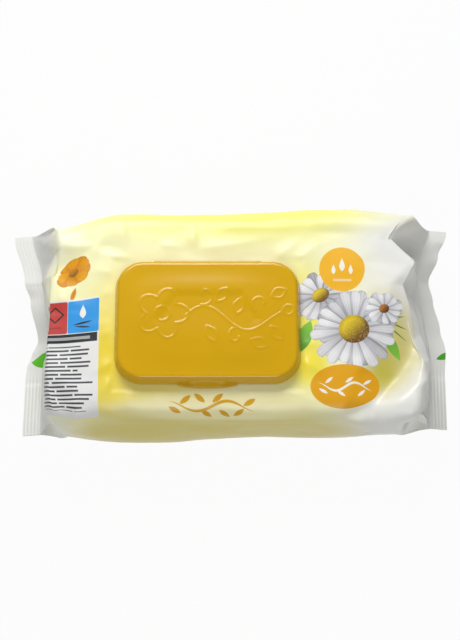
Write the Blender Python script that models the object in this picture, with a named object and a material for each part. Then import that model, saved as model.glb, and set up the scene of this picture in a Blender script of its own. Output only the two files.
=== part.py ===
"""Wet wipes pack: a sealed film pack of folded wipes with a moulded flip lid.

+X runs along the pack, +Y towards the lid's hinge and +Z up. The origin is on the surface that
the pack rests on, under the middle of its outline. All sizes are in metres.
"""

import math

import bmesh
import bpy
from mathutils import Matrix, Vector

# Film pack
BODY_LENGTH = 0.179
BODY_SHIFT = 0.0015
BODY_WIDTH = 0.116
BODY_HEIGHT = 0.060
TOP_EDGE_RADIUS = 0.016
BOTTOM_EDGE_RADIUS = 0.010
SIDE_BULGE = 0.0015
LEFT_BACK_TAPER = 0.006
LEFT_FRONT_TAPER = 0.002
RIGHT_BACK_TAPER = 0.001
RIGHT_FRONT_TAPER = 0.002
TAPER_REACH = 0.030
LEFT_SLOPE = 0.014
RIGHT_SLOPE = 0.018
TOP_EDGE_PULL = 0.006
EDGE_FOLD_WIDTH = 0.012
TUCK_DEPTH = 0.021

# Crimped seal fins at both ends
FIN_LENGTH = 0.011
FIN_WIDTH = 0.112
FIN_HEIGHT = 0.028
LEFT_FIN_SHIFT = -0.0045
RIGHT_FIN_SHIFT = 0.0
FIN_THICKNESS = 0.0010
FIN_REST_COSINE = 0.85
FIN_LEAST_COSINE = 0.3
RIB_COUNT = 5
RIB_DEPTH = 0.00018
INNER_LINE_FOLLOWS = 0.75

# How far each fin's outer edge stands out past its straight stretch, from the back end (1) to
# the front end (-1): the back corner flares and the thin middle is drawn in.
LEFT_FIN_REACH = [
    (1.0, 0.0090), (0.55, 0.0006), (0.35, -0.0030), (-0.05, -0.0064), (-0.20, -0.0030),
    (-0.32, -0.0004), (-0.45, 0.0002), (-1.0, 0.0006),
]
RIGHT_FIN_REACH = [
    (1.0, 0.0016), (0.75, -0.0030), (0.50, -0.0078), (0.30, -0.0062), (0.0, -0.0027),
    (-0.22, 0.0002), (-0.50, -0.0002), (-1.0, -0.0002),
]

# Lengthwise seam on the underside, folded flat
SEAM_WIDTH = 0.013
SEAM_STEP = 0.0003
SEAM_EDGE = 0.0005

# Flip lid
LID_LENGTH = 0.098
LID_WIDTH = 0.066
LID_HEIGHT = 0.0079
LID_CORNER = 0.0150
LID_WALL = 0.0012
LID_DRAFT = 0.0013
LID_TOP_ROUND = 0.0022
LID_OFFSET_X = -0.0115
LID_OFFSET_Y = -0.0060
LID_ABOVE_FILM = 0.0006

# Shallow six-sided relief on the lid
RELIEF_LENGTH = 0.060
RELIEF_WIDTH = 0.034
RELIEF_SLANT = 0.011
RELIEF_BAND = 0.0060
RELIEF_HEIGHT = 0.0006

# Thumb lip and the scoop above it
LIP_WIDTH = 0.032
LIP_REACH = 0.0023
LIP_HEIGHT = 0.0018
SCOOP_DEPTH = 0.0075
SCOOP_HEIGHT = 0.0070
SCOOP_SET_OUT = 0.0005

# Hinge
HINGE_WIDTH = 0.058
HINGE_RECESS = 0.0012
HINGE_BEHIND_LID = 0.0006
HINGE_RISE = 0.0003
WEB_THICKNESS = 0.0004
WEB_GAP = 0.0003

# Base frame glued on the film
FLANGE_THICKNESS = 0.0010
OPENING_LENGTH = 0.060
OPENING_WIDTH = 0.032
OPENING_SLANT = 0.011
OPENING_CORNER = 0.0040
RIM_WALL = 0.0010
RIM_HEIGHT = 0.0032
LATCH_LENGTH = 0.008
LATCH_WALL = 0.0012
LATCH_HEIGHT = 0.0028
LATCH_SPACING = 0.050

# Peel-back label over the dispensing hole
SEAL_LENGTH = 0.050
SEAL_WIDTH = 0.024
SEAL_SLANT = 0.008
SEAL_THICKNESS = 0.0003
SEAL_TAB_LENGTH = 0.012
SEAL_TAB_REACH = 0.0025

# Clearances
CONTACT_GAP = 0.0003
LID_TO_FLANGE = 0.0008
RING_TO_RIM = 0.0008
RING_WALL = 0.0010
RING_ABOVE_FLANGE = 0.0009
LATCH_TO_LID = 0.0006
FUSE = 0.0004

# Mesh steps
BODY_STATIONS = 17
PANEL_STEPS = 4
TOP_STEPS = 2 * (PANEL_STEPS + 2)
ARC_STEPS = 4
SIDE_STEPS = 6
SLOPE_SHARES = (0.07, 0.16, 0.28, 0.42, 0.58, 0.74, 0.88)
FOLD_SHARE = 0.42
CORNER_STEPS = 7
ROUND_STEPS = 3
LEVEL_TOLERANCE = 0.0001
SHARP_ANGLE = math.radians(35)

# Levels that the pieces of the lid share
FILM_TOP = BODY_HEIGHT
FLANGE_LOW = FILM_TOP + CONTACT_GAP
FLANGE_HIGH = FLANGE_LOW + FLANGE_THICKNESS
LID_LOW = FILM_TOP + LID_ABOVE_FILM
LID_HIGH = LID_LOW + LID_HEIGHT
LIP_TOP = LID_LOW + LIP_HEIGHT
LID_BACK = LID_OFFSET_Y + LID_WIDTH / 2
LID_FRONT = LID_OFFSET_Y - LID_WIDTH / 2
HINGE_Y = LID_BACK + HINGE_BEHIND_LID
HINGE_Z = LID_LOW + HINGE_RISE
HINGE_POINT = Vector((LID_OFFSET_X, HINGE_Y, HINGE_Z))


def clear_scene():
    """Removes what the file holds and returns the two collections of this model."""
    for old in list(bpy.data.objects):
        bpy.data.objects.remove(old, do_unlink=True)
    made = []
    for name in ("wet_wipes_pack", "cutters"):
        collection = bpy.data.collections.new(name)
        bpy.context.scene.collection.children.link(collection)
        made.append(collection)
    return made


def plastic(name, colour, roughness):
    """A Principled material with a plain colour."""
    material = bpy.data.materials.new(name)
    material.use_nodes = True
    shader = material.node_tree.nodes["Principled BSDF"]
    shader.inputs["Base Color"].default_value = (*colour, 1.0)
    shader.inputs["Roughness"].default_value = roughness
    shader.inputs["Metallic"].default_value = 0.0
    return material


def add_object(name, bm, collection, origin=(0.0, 0.0, 0.0)):
    """Makes an object of a bmesh given in world coordinates, with its own origin at a point."""
    bmesh.ops.translate(bm, verts=bm.verts, vec=-Vector(origin))
    bmesh.ops.recalc_face_normals(bm, faces=bm.faces)
    mesh = bpy.data.meshes.new(name)
    bm.to_mesh(mesh)
    bm.free()
    obj = bpy.data.objects.new(name, mesh)
    obj.location = origin
    collection.objects.link(obj)
    if collection is cutters:
        obj.hide_render = True
        obj.display_type = "WIRE"
    return obj


def boolean(obj, other, operation):
    """Adds an exact Boolean of another object."""
    modifier = obj.modifiers.new(f"{operation.lower()} {other.name}", "BOOLEAN")
    modifier.object = other
    modifier.operation = operation
    modifier.solver = "EXACT"


def smooth(share):
    """Eases a share from 0 to 1."""
    share = min(max(share, 0.0), 1.0)
    return share * share * (3.0 - 2.0 * share)


def mix(low, high, share):
    """Straight mix of two values."""
    return low + (high - low) * share


def along(profile, place):
    """Reads a profile of (place, value) pairs, given from 1 down to -1, with eased steps."""
    for (start, first), (end, second) in zip(profile, profile[1:]):
        if place >= end:
            return mix(first, second, smooth((start - place) / (start - end)))
    return profile[-1][1]


def ring_slots():
    """The points of a section, counted round it: (run, side, share)."""
    arc = [step / ARC_STEPS for step in range(1, ARC_STEPS)]
    side = [1 - 2 * step / SIDE_STEPS for step in range(SIDE_STEPS + 1)]
    slots = [("top", 0, 1 - 2 * step / TOP_STEPS) for step in range(TOP_STEPS + 1)]
    slots += [("top_arc", -1, share) for share in arc]
    slots += [("side", -1, share) for share in side]
    slots += [("bottom_arc", -1, share) for share in arc]
    slots += [("bottom", 0, share) for share in bottom_shares()]
    slots += [("bottom_arc", 1, share) for share in reversed(arc)]
    slots += [("side", 1, share) for share in reversed(side)]
    slots += [("top_arc", 1, share) for share in reversed(arc)]
    return slots


def bottom_shares():
    """Columns of the underside from front to back, with a pair at each edge of the seam."""
    half_flat = BODY_WIDTH / 2 - BOTTOM_EDGE_RADIUS
    inner = SEAM_WIDTH / 2 / half_flat
    outer = (SEAM_WIDTH / 2 + SEAM_EDGE) / half_flat
    plain = [mix(outer, 1.0, step / PANEL_STEPS) for step in range(1, PANEL_STEPS + 1)]
    back = [inner, outer] + plain
    return [-share for share in reversed(back)] + [0.0] + back


def body_section(run, side, share, half_width):
    """A point (y, z) of the full section: a box with rounded edges and a seam underneath."""
    angle = share * math.pi / 2
    top_flat = half_width - TOP_EDGE_RADIUS
    bottom_flat = half_width - BOTTOM_EDGE_RADIUS
    if run == "top":
        return share * top_flat, BODY_HEIGHT
    if run == "top_arc":
        drop = TOP_EDGE_RADIUS * (1 - math.cos(angle))
        return side * (top_flat + TOP_EDGE_RADIUS * math.sin(angle)), BODY_HEIGHT - drop
    if run == "side":
        middle = (BODY_HEIGHT - TOP_EDGE_RADIUS + BOTTOM_EDGE_RADIUS) / 2
        half = (BODY_HEIGHT - TOP_EDGE_RADIUS - BOTTOM_EDGE_RADIUS) / 2
        return side * (half_width + SIDE_BULGE * (1 - share * share)), middle + share * half
    if run == "bottom_arc":
        height = SEAM_STEP + (BOTTOM_EDGE_RADIUS - SEAM_STEP) * (1 - math.sin(angle))
        return side * (bottom_flat + BOTTOM_EDGE_RADIUS * math.cos(angle)), height
    across = share * bottom_flat
    on_seam = abs(share) * (BODY_WIDTH / 2 - BOTTOM_EDGE_RADIUS) < SEAM_WIDTH / 2 + SEAM_EDGE / 2
    return across, 0.0 if on_seam else SEAM_STEP


def end_section(run, side, share, slope):
    """A point (y, z) where the film narrows to the fin: flat panels with tucked sides."""
    half_fin = FIN_THICKNESS / 2
    opening = 0.5 * (1 - slope) + 0.5 * (1 - smooth(slope))
    up = mix(half_fin, BODY_HEIGHT - FIN_HEIGHT, opening)
    down = mix(half_fin, FIN_HEIGHT, opening)
    edge = mix(BODY_WIDTH / 2, FIN_WIDTH / 2, slope)
    top_edge = edge - TOP_EDGE_PULL * math.sin(math.pi * slope)
    tuck = TUCK_DEPTH * math.sqrt(1 - opening * opening) if slope < 1 else 0.0
    if run == "top":
        return share * (top_edge - EDGE_FOLD_WIDTH), FIN_HEIGHT + up
    if run == "top_arc":
        return side * (top_edge - EDGE_FOLD_WIDTH * (1 - share)), FIN_HEIGHT + up
    if run == "side":
        outer = mix(edge, top_edge, (1 + share) / 2)
        height = FIN_HEIGHT + share * (up if share > 0 else down)
        return side * (outer - tuck * (1 - abs(share))), height
    if run == "bottom_arc":
        return side * (edge - EDGE_FOLD_WIDTH * share), FIN_HEIGHT - down
    return share * (edge - EDGE_FOLD_WIDTH), FIN_HEIGHT - down


def width_at(x):
    """(half width, middle) of the pack at a place along it: the film draws in near both ends."""
    left = smooth(1 - (x - BODY_SHIFT + BODY_LENGTH / 2) / TAPER_REACH)
    right = smooth(1 - (BODY_SHIFT + BODY_LENGTH / 2 - x) / TAPER_REACH)
    back = BODY_WIDTH / 2 - LEFT_BACK_TAPER * left - RIGHT_BACK_TAPER * right
    front = -BODY_WIDTH / 2 + LEFT_FRONT_TAPER * left + RIGHT_FRONT_TAPER * right
    return (back - front) / 2, (back + front) / 2


def end_rings(slots, side):
    """The rings from the block's edge out to the end of one fin; side is -1 for the left end."""
    start = BODY_SHIFT + side * BODY_LENGTH / 2
    length = LEFT_SLOPE if side < 0 else RIGHT_SLOPE
    profile = LEFT_FIN_REACH if side < 0 else RIGHT_FIN_REACH
    fin_shift = LEFT_FIN_SHIFT if side < 0 else RIGHT_FIN_SHIFT
    half_width, body_middle = width_at(start)
    rings = []
    for slope in SLOPE_SHARES:
        middle = mix(body_middle, fin_shift, slope)
        share = smooth(slope / FOLD_SHARE)
        ring = []
        for slot in slots:
            body_y, body_z = body_section(*slot, half_width)
            end_y, end_z = end_section(*slot, slope)
            y = mix(body_y, end_y, share)
            follow = INNER_LINE_FOLLOWS * along(profile, 2 * y / FIN_WIDTH) * slope * slope
            x = start + side * (length * slope + follow)
            ring.append((x, middle + y, mix(body_z, end_z, share)))
        rings.append(ring)
    for step in range(2 * RIB_COUNT + 1):
        ring = fin_ring(slots, side, start + side * length, profile, step)
        rings.append([(x, fin_shift + y, z) for x, y, z in ring])
    return rings


def fin_ring(slots, side, inner_line, profile, step):
    """One ring of a fin: it droops from its inner line, and every other ring stands up as a rib."""
    run_out = FIN_LENGTH * step / (2 * RIB_COUNT)
    thicker = 1 + step % 2 * 2 * RIB_DEPTH / FIN_THICKNESS
    ring = []
    for slot in slots:
        y, z = end_section(*slot, 1.0)
        reach = along(profile, 2 * y / FIN_WIDTH)
        cosine = FIN_REST_COSINE + (1 - INNER_LINE_FOLLOWS) * reach / FIN_LENGTH
        cosine = min(max(cosine, FIN_LEAST_COSINE), 1.0)
        x = inner_line + side * (INNER_LINE_FOLLOWS * reach + run_out * cosine)
        droop = run_out * math.sqrt(1 - cosine * cosine)
        ring.append((x, y, FIN_HEIGHT + (z - FIN_HEIGHT) * thicker - droop))
    return ring


def cap_ring(bm, ring, front_middle):
    """Closes an end of the pack with a strip of faces between its upper and lower edges."""
    count = len(ring)
    bm.faces.new([ring[front_middle - 1], ring[front_middle], ring[front_middle + 1]])
    for step in range(1, count // 2 - 1):
        above = [ring[(front_middle - step) % count], ring[(front_middle - step - 1) % count]]
        below = [ring[(front_middle + step + 1) % count], ring[(front_middle + step) % count]]
        bm.faces.new(above + below)
    back_middle = (front_middle + count // 2) % count
    bm.faces.new([ring[back_middle - 1], ring[back_middle], ring[(back_middle + 1) % count]])


def pouch_mesh():
    """The film pack as a loft through rings of one count, from the left fin to the right one."""
    slots = ring_slots()
    rings = list(reversed(end_rings(slots, -1)))
    for station in range(BODY_STATIONS):
        x = BODY_SHIFT + BODY_LENGTH * (station / (BODY_STATIONS - 1) - 0.5)
        half_width, middle = width_at(x)
        section = [body_section(*slot, half_width) for slot in slots]
        rings.append([(x, middle + y, z) for y, z in section])
    rings += end_rings(slots, 1)
    every_x = [point[0] for ring in rings for point in ring]
    every_y = [point[1] for ring in rings for point in ring]
    middle_x = (min(every_x) + max(every_x)) / 2
    middle_y = (min(every_y) + max(every_y)) / 2
    bm = bmesh.new()
    rows = [[bm.verts.new((x - middle_x, y - middle_y, z)) for x, y, z in ring] for ring in rings]
    for row, following in zip(rows, rows[1:]):
        for index in range(len(slots)):
            after = (index + 1) % len(slots)
            bm.faces.new([row[index], row[after], following[after], following[index]])
    front_middle = slots.index(("side", -1, 0.0))
    cap_ring(bm, rows[0], front_middle)
    cap_ring(bm, rows[-1], front_middle)
    return bm


def rounded_block(size, low, high, corner, draft=0.0, top_round=0.0):
    """A block with rounded upright edges round the lid's centre, drafted and rounded at the top."""
    length, width = size
    bm = bmesh.new()
    bmesh.ops.create_cube(bm, size=1.0)
    for vert in bm.verts:
        inset = draft if vert.co.z > 0 else 0.0
        vert.co.x = math.copysign(length / 2 - inset, vert.co.x)
        vert.co.y = math.copysign(width / 2 - inset, vert.co.y)
        vert.co.z = high if vert.co.z > 0 else low
    upright = [edge for edge in bm.edges if edge.verts[0].co.z != edge.verts[1].co.z]
    round_edges(bm, upright, corner, CORNER_STEPS)
    if top_round:
        level = high - LEVEL_TOLERANCE
        rim = [edge for edge in bm.edges if all(vert.co.z > level for vert in edge.verts)]
        round_edges(bm, rim, top_round, ROUND_STEPS)
    bmesh.ops.translate(bm, verts=bm.verts, vec=(LID_OFFSET_X, LID_OFFSET_Y, 0.0))
    return bm


def round_edges(bm, edges, radius, steps):
    """Bevels edges to a round."""
    bmesh.ops.bevel(
        bm, geom=edges, offset=radius, segments=steps, profile=0.5, affect="EDGES", material=-1
    )


def box(low, high):
    """A plain box between two corners."""
    bm = bmesh.new()
    size = Vector(high) - Vector(low)
    place = Matrix.Translation((Vector(high) + Vector(low)) / 2)
    bmesh.ops.create_cube(bm, size=1.0, matrix=place @ Matrix.Diagonal((*size, 1.0)))
    return bm


def hexagon_block(size, slant, grow, low, high, corner, top_inset=0.0):
    """A six-sided prism round the lid's centre, its outline moved out by grow."""
    length, width = size
    half = width / 2
    stretch = math.hypot(half, slant) / half

    def outline(out):
        tip = length / 2 + out * stretch
        shoulder = tip - slant * (half + out) / half
        return [
            (tip, 0.0), (shoulder, half + out), (-shoulder, half + out),
            (-tip, 0.0), (-shoulder, -half - out), (shoulder, -half - out),
        ]

    bm = bmesh.new()
    lower = [bm.verts.new((x, y, low)) for x, y in outline(grow)]
    face = bm.faces.new(lower)
    made = bmesh.ops.extrude_face_region(bm, geom=[face])
    upper = [item for item in made["geom"] if isinstance(item, bmesh.types.BMVert)]
    narrowed = outline(grow - top_inset)
    for vert in upper:
        index = min(range(6), key=lambda place: (lower[place].co - vert.co).length)
        vert.co = (*narrowed[index], high)
    upright = [edge for edge in bm.edges if edge.verts[0].co.z != edge.verts[1].co.z]
    round_edges(bm, upright, corner, ROUND_STEPS)
    bmesh.ops.translate(bm, verts=bm.verts, vec=(LID_OFFSET_X, LID_OFFSET_Y, 0.0))
    return bm


def scoop(grow, floor):
    """The upper part of an ellipsoid over the thumb lip, cut flat at a level."""
    bm = bmesh.new()
    bmesh.ops.create_uvsphere(bm, u_segments=24, v_segments=14, radius=1.0)
    radii = (LIP_WIDTH / 2 + grow, SCOOP_DEPTH + grow, SCOOP_HEIGHT + grow)
    bmesh.ops.scale(bm, verts=bm.verts, vec=radii)
    bmesh.ops.translate(bm, verts=bm.verts, vec=(LID_OFFSET_X, LID_FRONT - SCOOP_SET_OUT, LIP_TOP))
    everything = list(bm.verts) + list(bm.edges) + list(bm.faces)
    bmesh.ops.bisect_plane(
        bm, geom=everything, plane_co=(0, 0, floor), plane_no=(0, 0, 1), clear_inner=True
    )
    rim = [edge for edge in bm.edges if edge.is_boundary]
    bmesh.ops.holes_fill(bm, edges=rim, sides=0)
    return bm


def thumb_lip():
    """A flat lens along the lid's front edge."""
    bm = bmesh.new()
    bmesh.ops.create_cone(
        bm, cap_ends=True, segments=40, radius1=1.0, radius2=1.0, depth=LIP_HEIGHT
    )
    bmesh.ops.scale(bm, verts=bm.verts, vec=(LIP_WIDTH / 2, LIP_REACH + LID_WALL, 1.0))
    place = (LID_OFFSET_X, LID_FRONT + LID_WALL, LID_LOW + LIP_HEIGHT / 2)
    bmesh.ops.translate(bm, verts=bm.verts, vec=place)
    return bm


def hinge_box(grow, low_y, high_y, low_z, high_z):
    """A box across the hinge, wider by grow at both ends."""
    half = HINGE_WIDTH / 2 + grow
    return box((LID_OFFSET_X - half, low_y, low_z), (LID_OFFSET_X + half, high_y, high_z))


def make_lid():
    """The flip lid: a drafted shell with a hinge recess, thumb scoop, relief and sealing ring."""
    outer = rounded_block(
        (LID_LENGTH, LID_WIDTH), LID_LOW, LID_HIGH, LID_CORNER, LID_DRAFT, LID_TOP_ROUND
    )
    lid = add_object("lid", outer, parts, HINGE_POINT)
    boolean(lid, add_object("thumb_lip_shape", thumb_lip(), cutters), "UNION")

    inner_size = (LID_LENGTH - 2 * LID_WALL, LID_WIDTH - 2 * LID_WALL)
    ceiling = LID_HIGH - LID_WALL
    inner = rounded_block(
        inner_size, LID_LOW - LID_WALL, ceiling, LID_CORNER - LID_WALL, LID_DRAFT,
        LID_TOP_ROUND - LID_WALL,
    )
    cavity = add_object("lid_cavity", inner, cutters)
    kept_floor = FLANGE_HIGH + CONTACT_GAP
    boolean(cavity, add_object("scoop_wall", scoop(LID_WALL, kept_floor), cutters), "DIFFERENCE")
    recess_face = LID_BACK - HINGE_RECESS
    far = HINGE_Y + LID_WALL
    wall_shape = hinge_box(LID_WALL, recess_face - LID_WALL, far, 0.0, LID_HIGH + LID_WALL)
    boolean(cavity, add_object("recess_wall", wall_shape, cutters), "DIFFERENCE")
    boolean(lid, cavity, "DIFFERENCE")

    lip_step = LIP_TOP + CONTACT_GAP / 2
    boolean(lid, add_object("thumb_scoop", scoop(0.0, lip_step), cutters), "DIFFERENCE")
    recess = hinge_box(0.0, recess_face, far, 0.0, LID_HIGH + LID_WALL)
    boolean(lid, add_object("hinge_recess", recess, cutters), "DIFFERENCE")
    wall_foot = HINGE_Z + WEB_THICKNESS / 2
    foot_cut = hinge_box(-WEB_GAP / 2, recess_face - 2 * LID_WALL, far, 0.0, wall_foot)
    boolean(lid, add_object("hinge_foot", foot_cut, cutters), "DIFFERENCE")
    flap_low = wall_foot + LEVEL_TOLERANCE
    flap = hinge_box(
        -WEB_GAP, recess_face - FUSE, HINGE_Y - WEB_GAP, flap_low, flap_low + WEB_THICKNESS
    )
    boolean(lid, add_object("hinge_flap", flap, cutters), "UNION")

    size = (OPENING_LENGTH, OPENING_WIDTH)
    ring_inner = RIM_WALL + RING_TO_RIM
    ring_low = FLANGE_HIGH + RING_ABOVE_FLANGE
    ring_shape = hexagon_block(
        size, OPENING_SLANT, ring_inner + RING_WALL, ring_low, ceiling + FUSE, OPENING_CORNER
    )
    ring = add_object("sealing_ring", ring_shape, cutters)
    ring_hole = hexagon_block(
        size, OPENING_SLANT, ring_inner, ring_low - LID_WALL, ceiling + LID_WALL, OPENING_CORNER
    )
    boolean(ring, add_object("sealing_ring_hole", ring_hole, cutters), "DIFFERENCE")
    boolean(lid, ring, "UNION")
    relief_shape = hexagon_block(
        (RELIEF_LENGTH, RELIEF_WIDTH), RELIEF_SLANT, 0.0, LID_HIGH - FUSE,
        LID_HIGH + RELIEF_HEIGHT, OPENING_CORNER, RELIEF_BAND,
    )
    boolean(lid, add_object("lid_relief", relief_shape, cutters), "UNION")
    lid.data.materials.append(plastic("yellow_polypropylene", (0.60, 0.36, 0.003), 0.34))


def make_frame():
    """The base of the lid: a thin flange with a six-sided opening, rim, latch ribs and tongue."""
    set_in = LID_WALL + LID_TO_FLANGE
    flange = rounded_block(
        (LID_LENGTH - 2 * set_in, LID_WIDTH - 2 * set_in), FLANGE_LOW, FLANGE_HIGH,
        LID_CORNER - set_in,
    )
    frame = add_object("lid_frame", flange, parts)
    recess_face = LID_BACK - HINGE_RECESS
    cut_back = hinge_box(
        set_in, recess_face - set_in, HINGE_Y, FLANGE_LOW - FUSE, FLANGE_HIGH + FUSE
    )
    boolean(frame, add_object("flange_cut_back", cut_back, cutters), "DIFFERENCE")
    tongue = hinge_box(
        -WEB_GAP, recess_face - set_in - LATCH_LENGTH, HINGE_Y - WEB_GAP, FLANGE_LOW,
        FLANGE_LOW + WEB_THICKNESS,
    )
    boolean(frame, add_object("hinge_tongue", tongue, cutters), "UNION")

    size = (OPENING_LENGTH, OPENING_WIDTH)
    rim = hexagon_block(
        size, OPENING_SLANT, RIM_WALL, FLANGE_LOW, FLANGE_HIGH + RIM_HEIGHT, OPENING_CORNER
    )
    boolean(frame, add_object("opening_rim", rim, cutters), "UNION")
    hole = hexagon_block(
        size, OPENING_SLANT, 0.0, FLANGE_LOW - LID_WALL, FLANGE_HIGH + RIM_HEIGHT + LID_WALL,
        OPENING_CORNER,
    )
    boolean(frame, add_object("opening", hole, cutters), "DIFFERENCE")
    latch_front = LID_FRONT + LID_WALL + LID_DRAFT + LATCH_TO_LID
    for side, name in ((-1, "latch_left"), (1, "latch_right")):
        middle = LID_OFFSET_X + side * LATCH_SPACING / 2
        rib = box(
            (middle - LATCH_LENGTH / 2, latch_front, FLANGE_LOW + FUSE),
            (middle + LATCH_LENGTH / 2, latch_front + LATCH_WALL, FLANGE_HIGH + LATCH_HEIGHT),
        )
        boolean(frame, add_object(name, rib, cutters), "UNION")
    frame.data.materials.append(plastic("amber_polypropylene", (0.60, 0.36, 0.003), 0.36))


def make_seal():
    """The peel-back label with its pull tab, on the film inside the opening."""
    low = FILM_TOP + CONTACT_GAP
    high = low + SEAL_THICKNESS
    label = hexagon_block(
        (SEAL_LENGTH, SEAL_WIDTH), SEAL_SLANT, 0.0, low, high, OPENING_CORNER
    )
    seal = add_object("peel_seal", label, parts)
    front = LID_OFFSET_Y - SEAL_WIDTH / 2
    half = SEAL_TAB_LENGTH / 2
    tab = box(
        (LID_OFFSET_X - half, front - SEAL_TAB_REACH, low),
        (LID_OFFSET_X + half, front + SEAL_TAB_REACH, high),
    )
    upright = [edge for edge in tab.edges if edge.verts[0].co.z != edge.verts[1].co.z]
    round_edges(tab, upright, SEAL_TAB_REACH * 0.8, ROUND_STEPS)
    boolean(seal, add_object("pull_tab", tab, cutters), "UNION")
    seal.data.materials.append(plastic("white_label", (0.85, 0.85, 0.82), 0.45))


def make_pouch():
    """The sealed film pack with the wipes inside it."""
    pouch = add_object("pouch", pouch_mesh(), parts)
    pouch.data.shade_smooth()
    pouch.data.set_sharp_from_angle(angle=SHARP_ANGLE)
    pouch.data.materials.append(plastic("printed_film", (0.86, 0.83, 0.45), 0.32))


parts, cutters = clear_scene()
make_pouch()
make_frame()
make_lid()
make_seal()
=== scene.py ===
"""Looks of the wet wipes pack: printed film, moulded flip lid, base frame and peel-back label.

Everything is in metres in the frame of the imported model: +X along the pack, +Y towards the hinge
and +Z up, with the origin on the surface that the pack rests on.
"""

import logging
import math
from dataclasses import dataclass, field
from enum import Enum
from typing import Any, Callable, Sequence

import bmesh
import bpy
import numpy as np
from mathutils import Matrix, Vector, noise
from mathutils.geometry import delaunay_2d_cdt
from mathutils.kdtree import KDTree


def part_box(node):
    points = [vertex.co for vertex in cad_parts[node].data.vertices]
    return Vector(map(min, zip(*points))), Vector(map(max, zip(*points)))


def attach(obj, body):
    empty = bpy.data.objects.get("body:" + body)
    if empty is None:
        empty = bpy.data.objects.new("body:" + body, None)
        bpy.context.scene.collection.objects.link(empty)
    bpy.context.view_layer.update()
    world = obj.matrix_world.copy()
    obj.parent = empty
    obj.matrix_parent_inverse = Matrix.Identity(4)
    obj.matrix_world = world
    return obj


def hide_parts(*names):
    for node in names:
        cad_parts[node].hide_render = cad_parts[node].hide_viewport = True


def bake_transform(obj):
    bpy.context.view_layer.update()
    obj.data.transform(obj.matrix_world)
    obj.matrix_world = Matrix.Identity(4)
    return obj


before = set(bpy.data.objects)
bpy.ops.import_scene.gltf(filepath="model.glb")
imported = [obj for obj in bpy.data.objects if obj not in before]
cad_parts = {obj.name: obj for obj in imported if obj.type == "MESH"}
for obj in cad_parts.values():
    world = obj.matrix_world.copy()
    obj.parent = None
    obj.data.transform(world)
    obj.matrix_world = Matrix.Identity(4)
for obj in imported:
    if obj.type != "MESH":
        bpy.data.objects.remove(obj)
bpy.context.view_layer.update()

MM = 0.001
MATH = "Math"
MIX = "Mix"
SMOOTH_EDGE = math.radians(40)
CREST_MM = 0.5
CORNER_STEPS = 12
FLANGE = 0.0010
log = logging.getLogger("wet_wipes_pack")


def linear(code: str) -> tuple[float, float, float, float]:
    """Turns an sRGB hex colour into linear RGBA.

    Args:
        code: Six hex digits.

    Returns:
        Linear red, green and blue, and an alpha of 1.
    """
    parts = [int(code[place:place + 2], 16) / 255 for place in (0, 2, 4)]
    out = [part / 12.92 if part <= 0.04045 else ((part + 0.055) / 1.055) ** 2.4 for part in parts]
    return (out[0], out[1], out[2], 1.0)


def eased(share: np.ndarray | float) -> np.ndarray:
    """Eases a share from 0 to 1, with level ends."""
    share = np.clip(share, 0.0, 1.0)
    return share * share * (3.0 - 2.0 * share)


def mixed(low: Any, high: Any, share: Any) -> Any:
    """Straight mix of two values."""
    return low + (high - low) * share


def wavering(points: np.ndarray, scale: Sequence[float], seed: float) -> np.ndarray:
    """Reads smooth noise at many points.

    Args:
        points: Array of (..., 2) places in metres.
        scale: Size of the noise's cells in millimetres along both directions.
        seed: Level of the noise that is read, so that fields differ.

    Returns:
        Values between about -1 and 1, in the shape of the points.
    """
    flat = points.reshape(-1, 2) / (np.asarray(scale) * MM)
    values = [noise.noise((float(x), float(y), seed)) for x, y in flat]
    return np.asarray(values).reshape(points.shape[:-1])


@dataclass(frozen=True)
class Swell:
    """A soft swelling of the film, or a soft dent where its height is under 0, in millimetres."""

    centre: tuple[float, float]
    half: tuple[float, float]
    height: float

    def lift(self, u: np.ndarray, v: np.ndarray) -> np.ndarray:
        """Height over flat film coordinates in millimetres."""
        radius = np.hypot((u - self.centre[0]) / self.half[0], (v - self.centre[1]) / self.half[1])
        return self.height * eased(1 - radius)


@dataclass(frozen=True)
class Crease:
    """A ridge in the film with a crisp crest and unlike flanks, in millimetres.

    Args:
        start: Where it starts.
        end: Where it ends.
        height: Of its crest. It is a furrow where this is under 0.
        flanks: Reach of its left and its right flank, seen from start to end.
        bow: How far its middle bends to the left.
        opens: Share of its length from the start at which it is highest.
    """

    start: tuple[float, float]
    end: tuple[float, float]
    height: float
    flanks: tuple[float, float] = (4.0, 4.0)
    bow: float = 0.0
    opens: float = 0.35

    def lift(self, u: np.ndarray, v: np.ndarray) -> np.ndarray:
        """Height over flat film coordinates in millimetres."""
        run_u, run_v = self.end[0] - self.start[0], self.end[1] - self.start[1]
        length = math.hypot(run_u, run_v)
        off_u, off_v = u - self.start[0], v - self.start[1]
        share = (off_u * run_u + off_v * run_v) / length ** 2
        off = (off_v * run_u - off_u * run_v) / length - self.bow * 4 * share * (1 - share)
        flank = np.where(off > 0, self.flanks[0], self.flanks[1])
        fall = np.exp(-(np.sqrt(off * off + CREST_MM ** 2) - CREST_MM) / flank)
        rise = eased(share / self.opens) * eased((1 - share) / (1 - self.opens))
        return self.height * fall * rise


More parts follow.
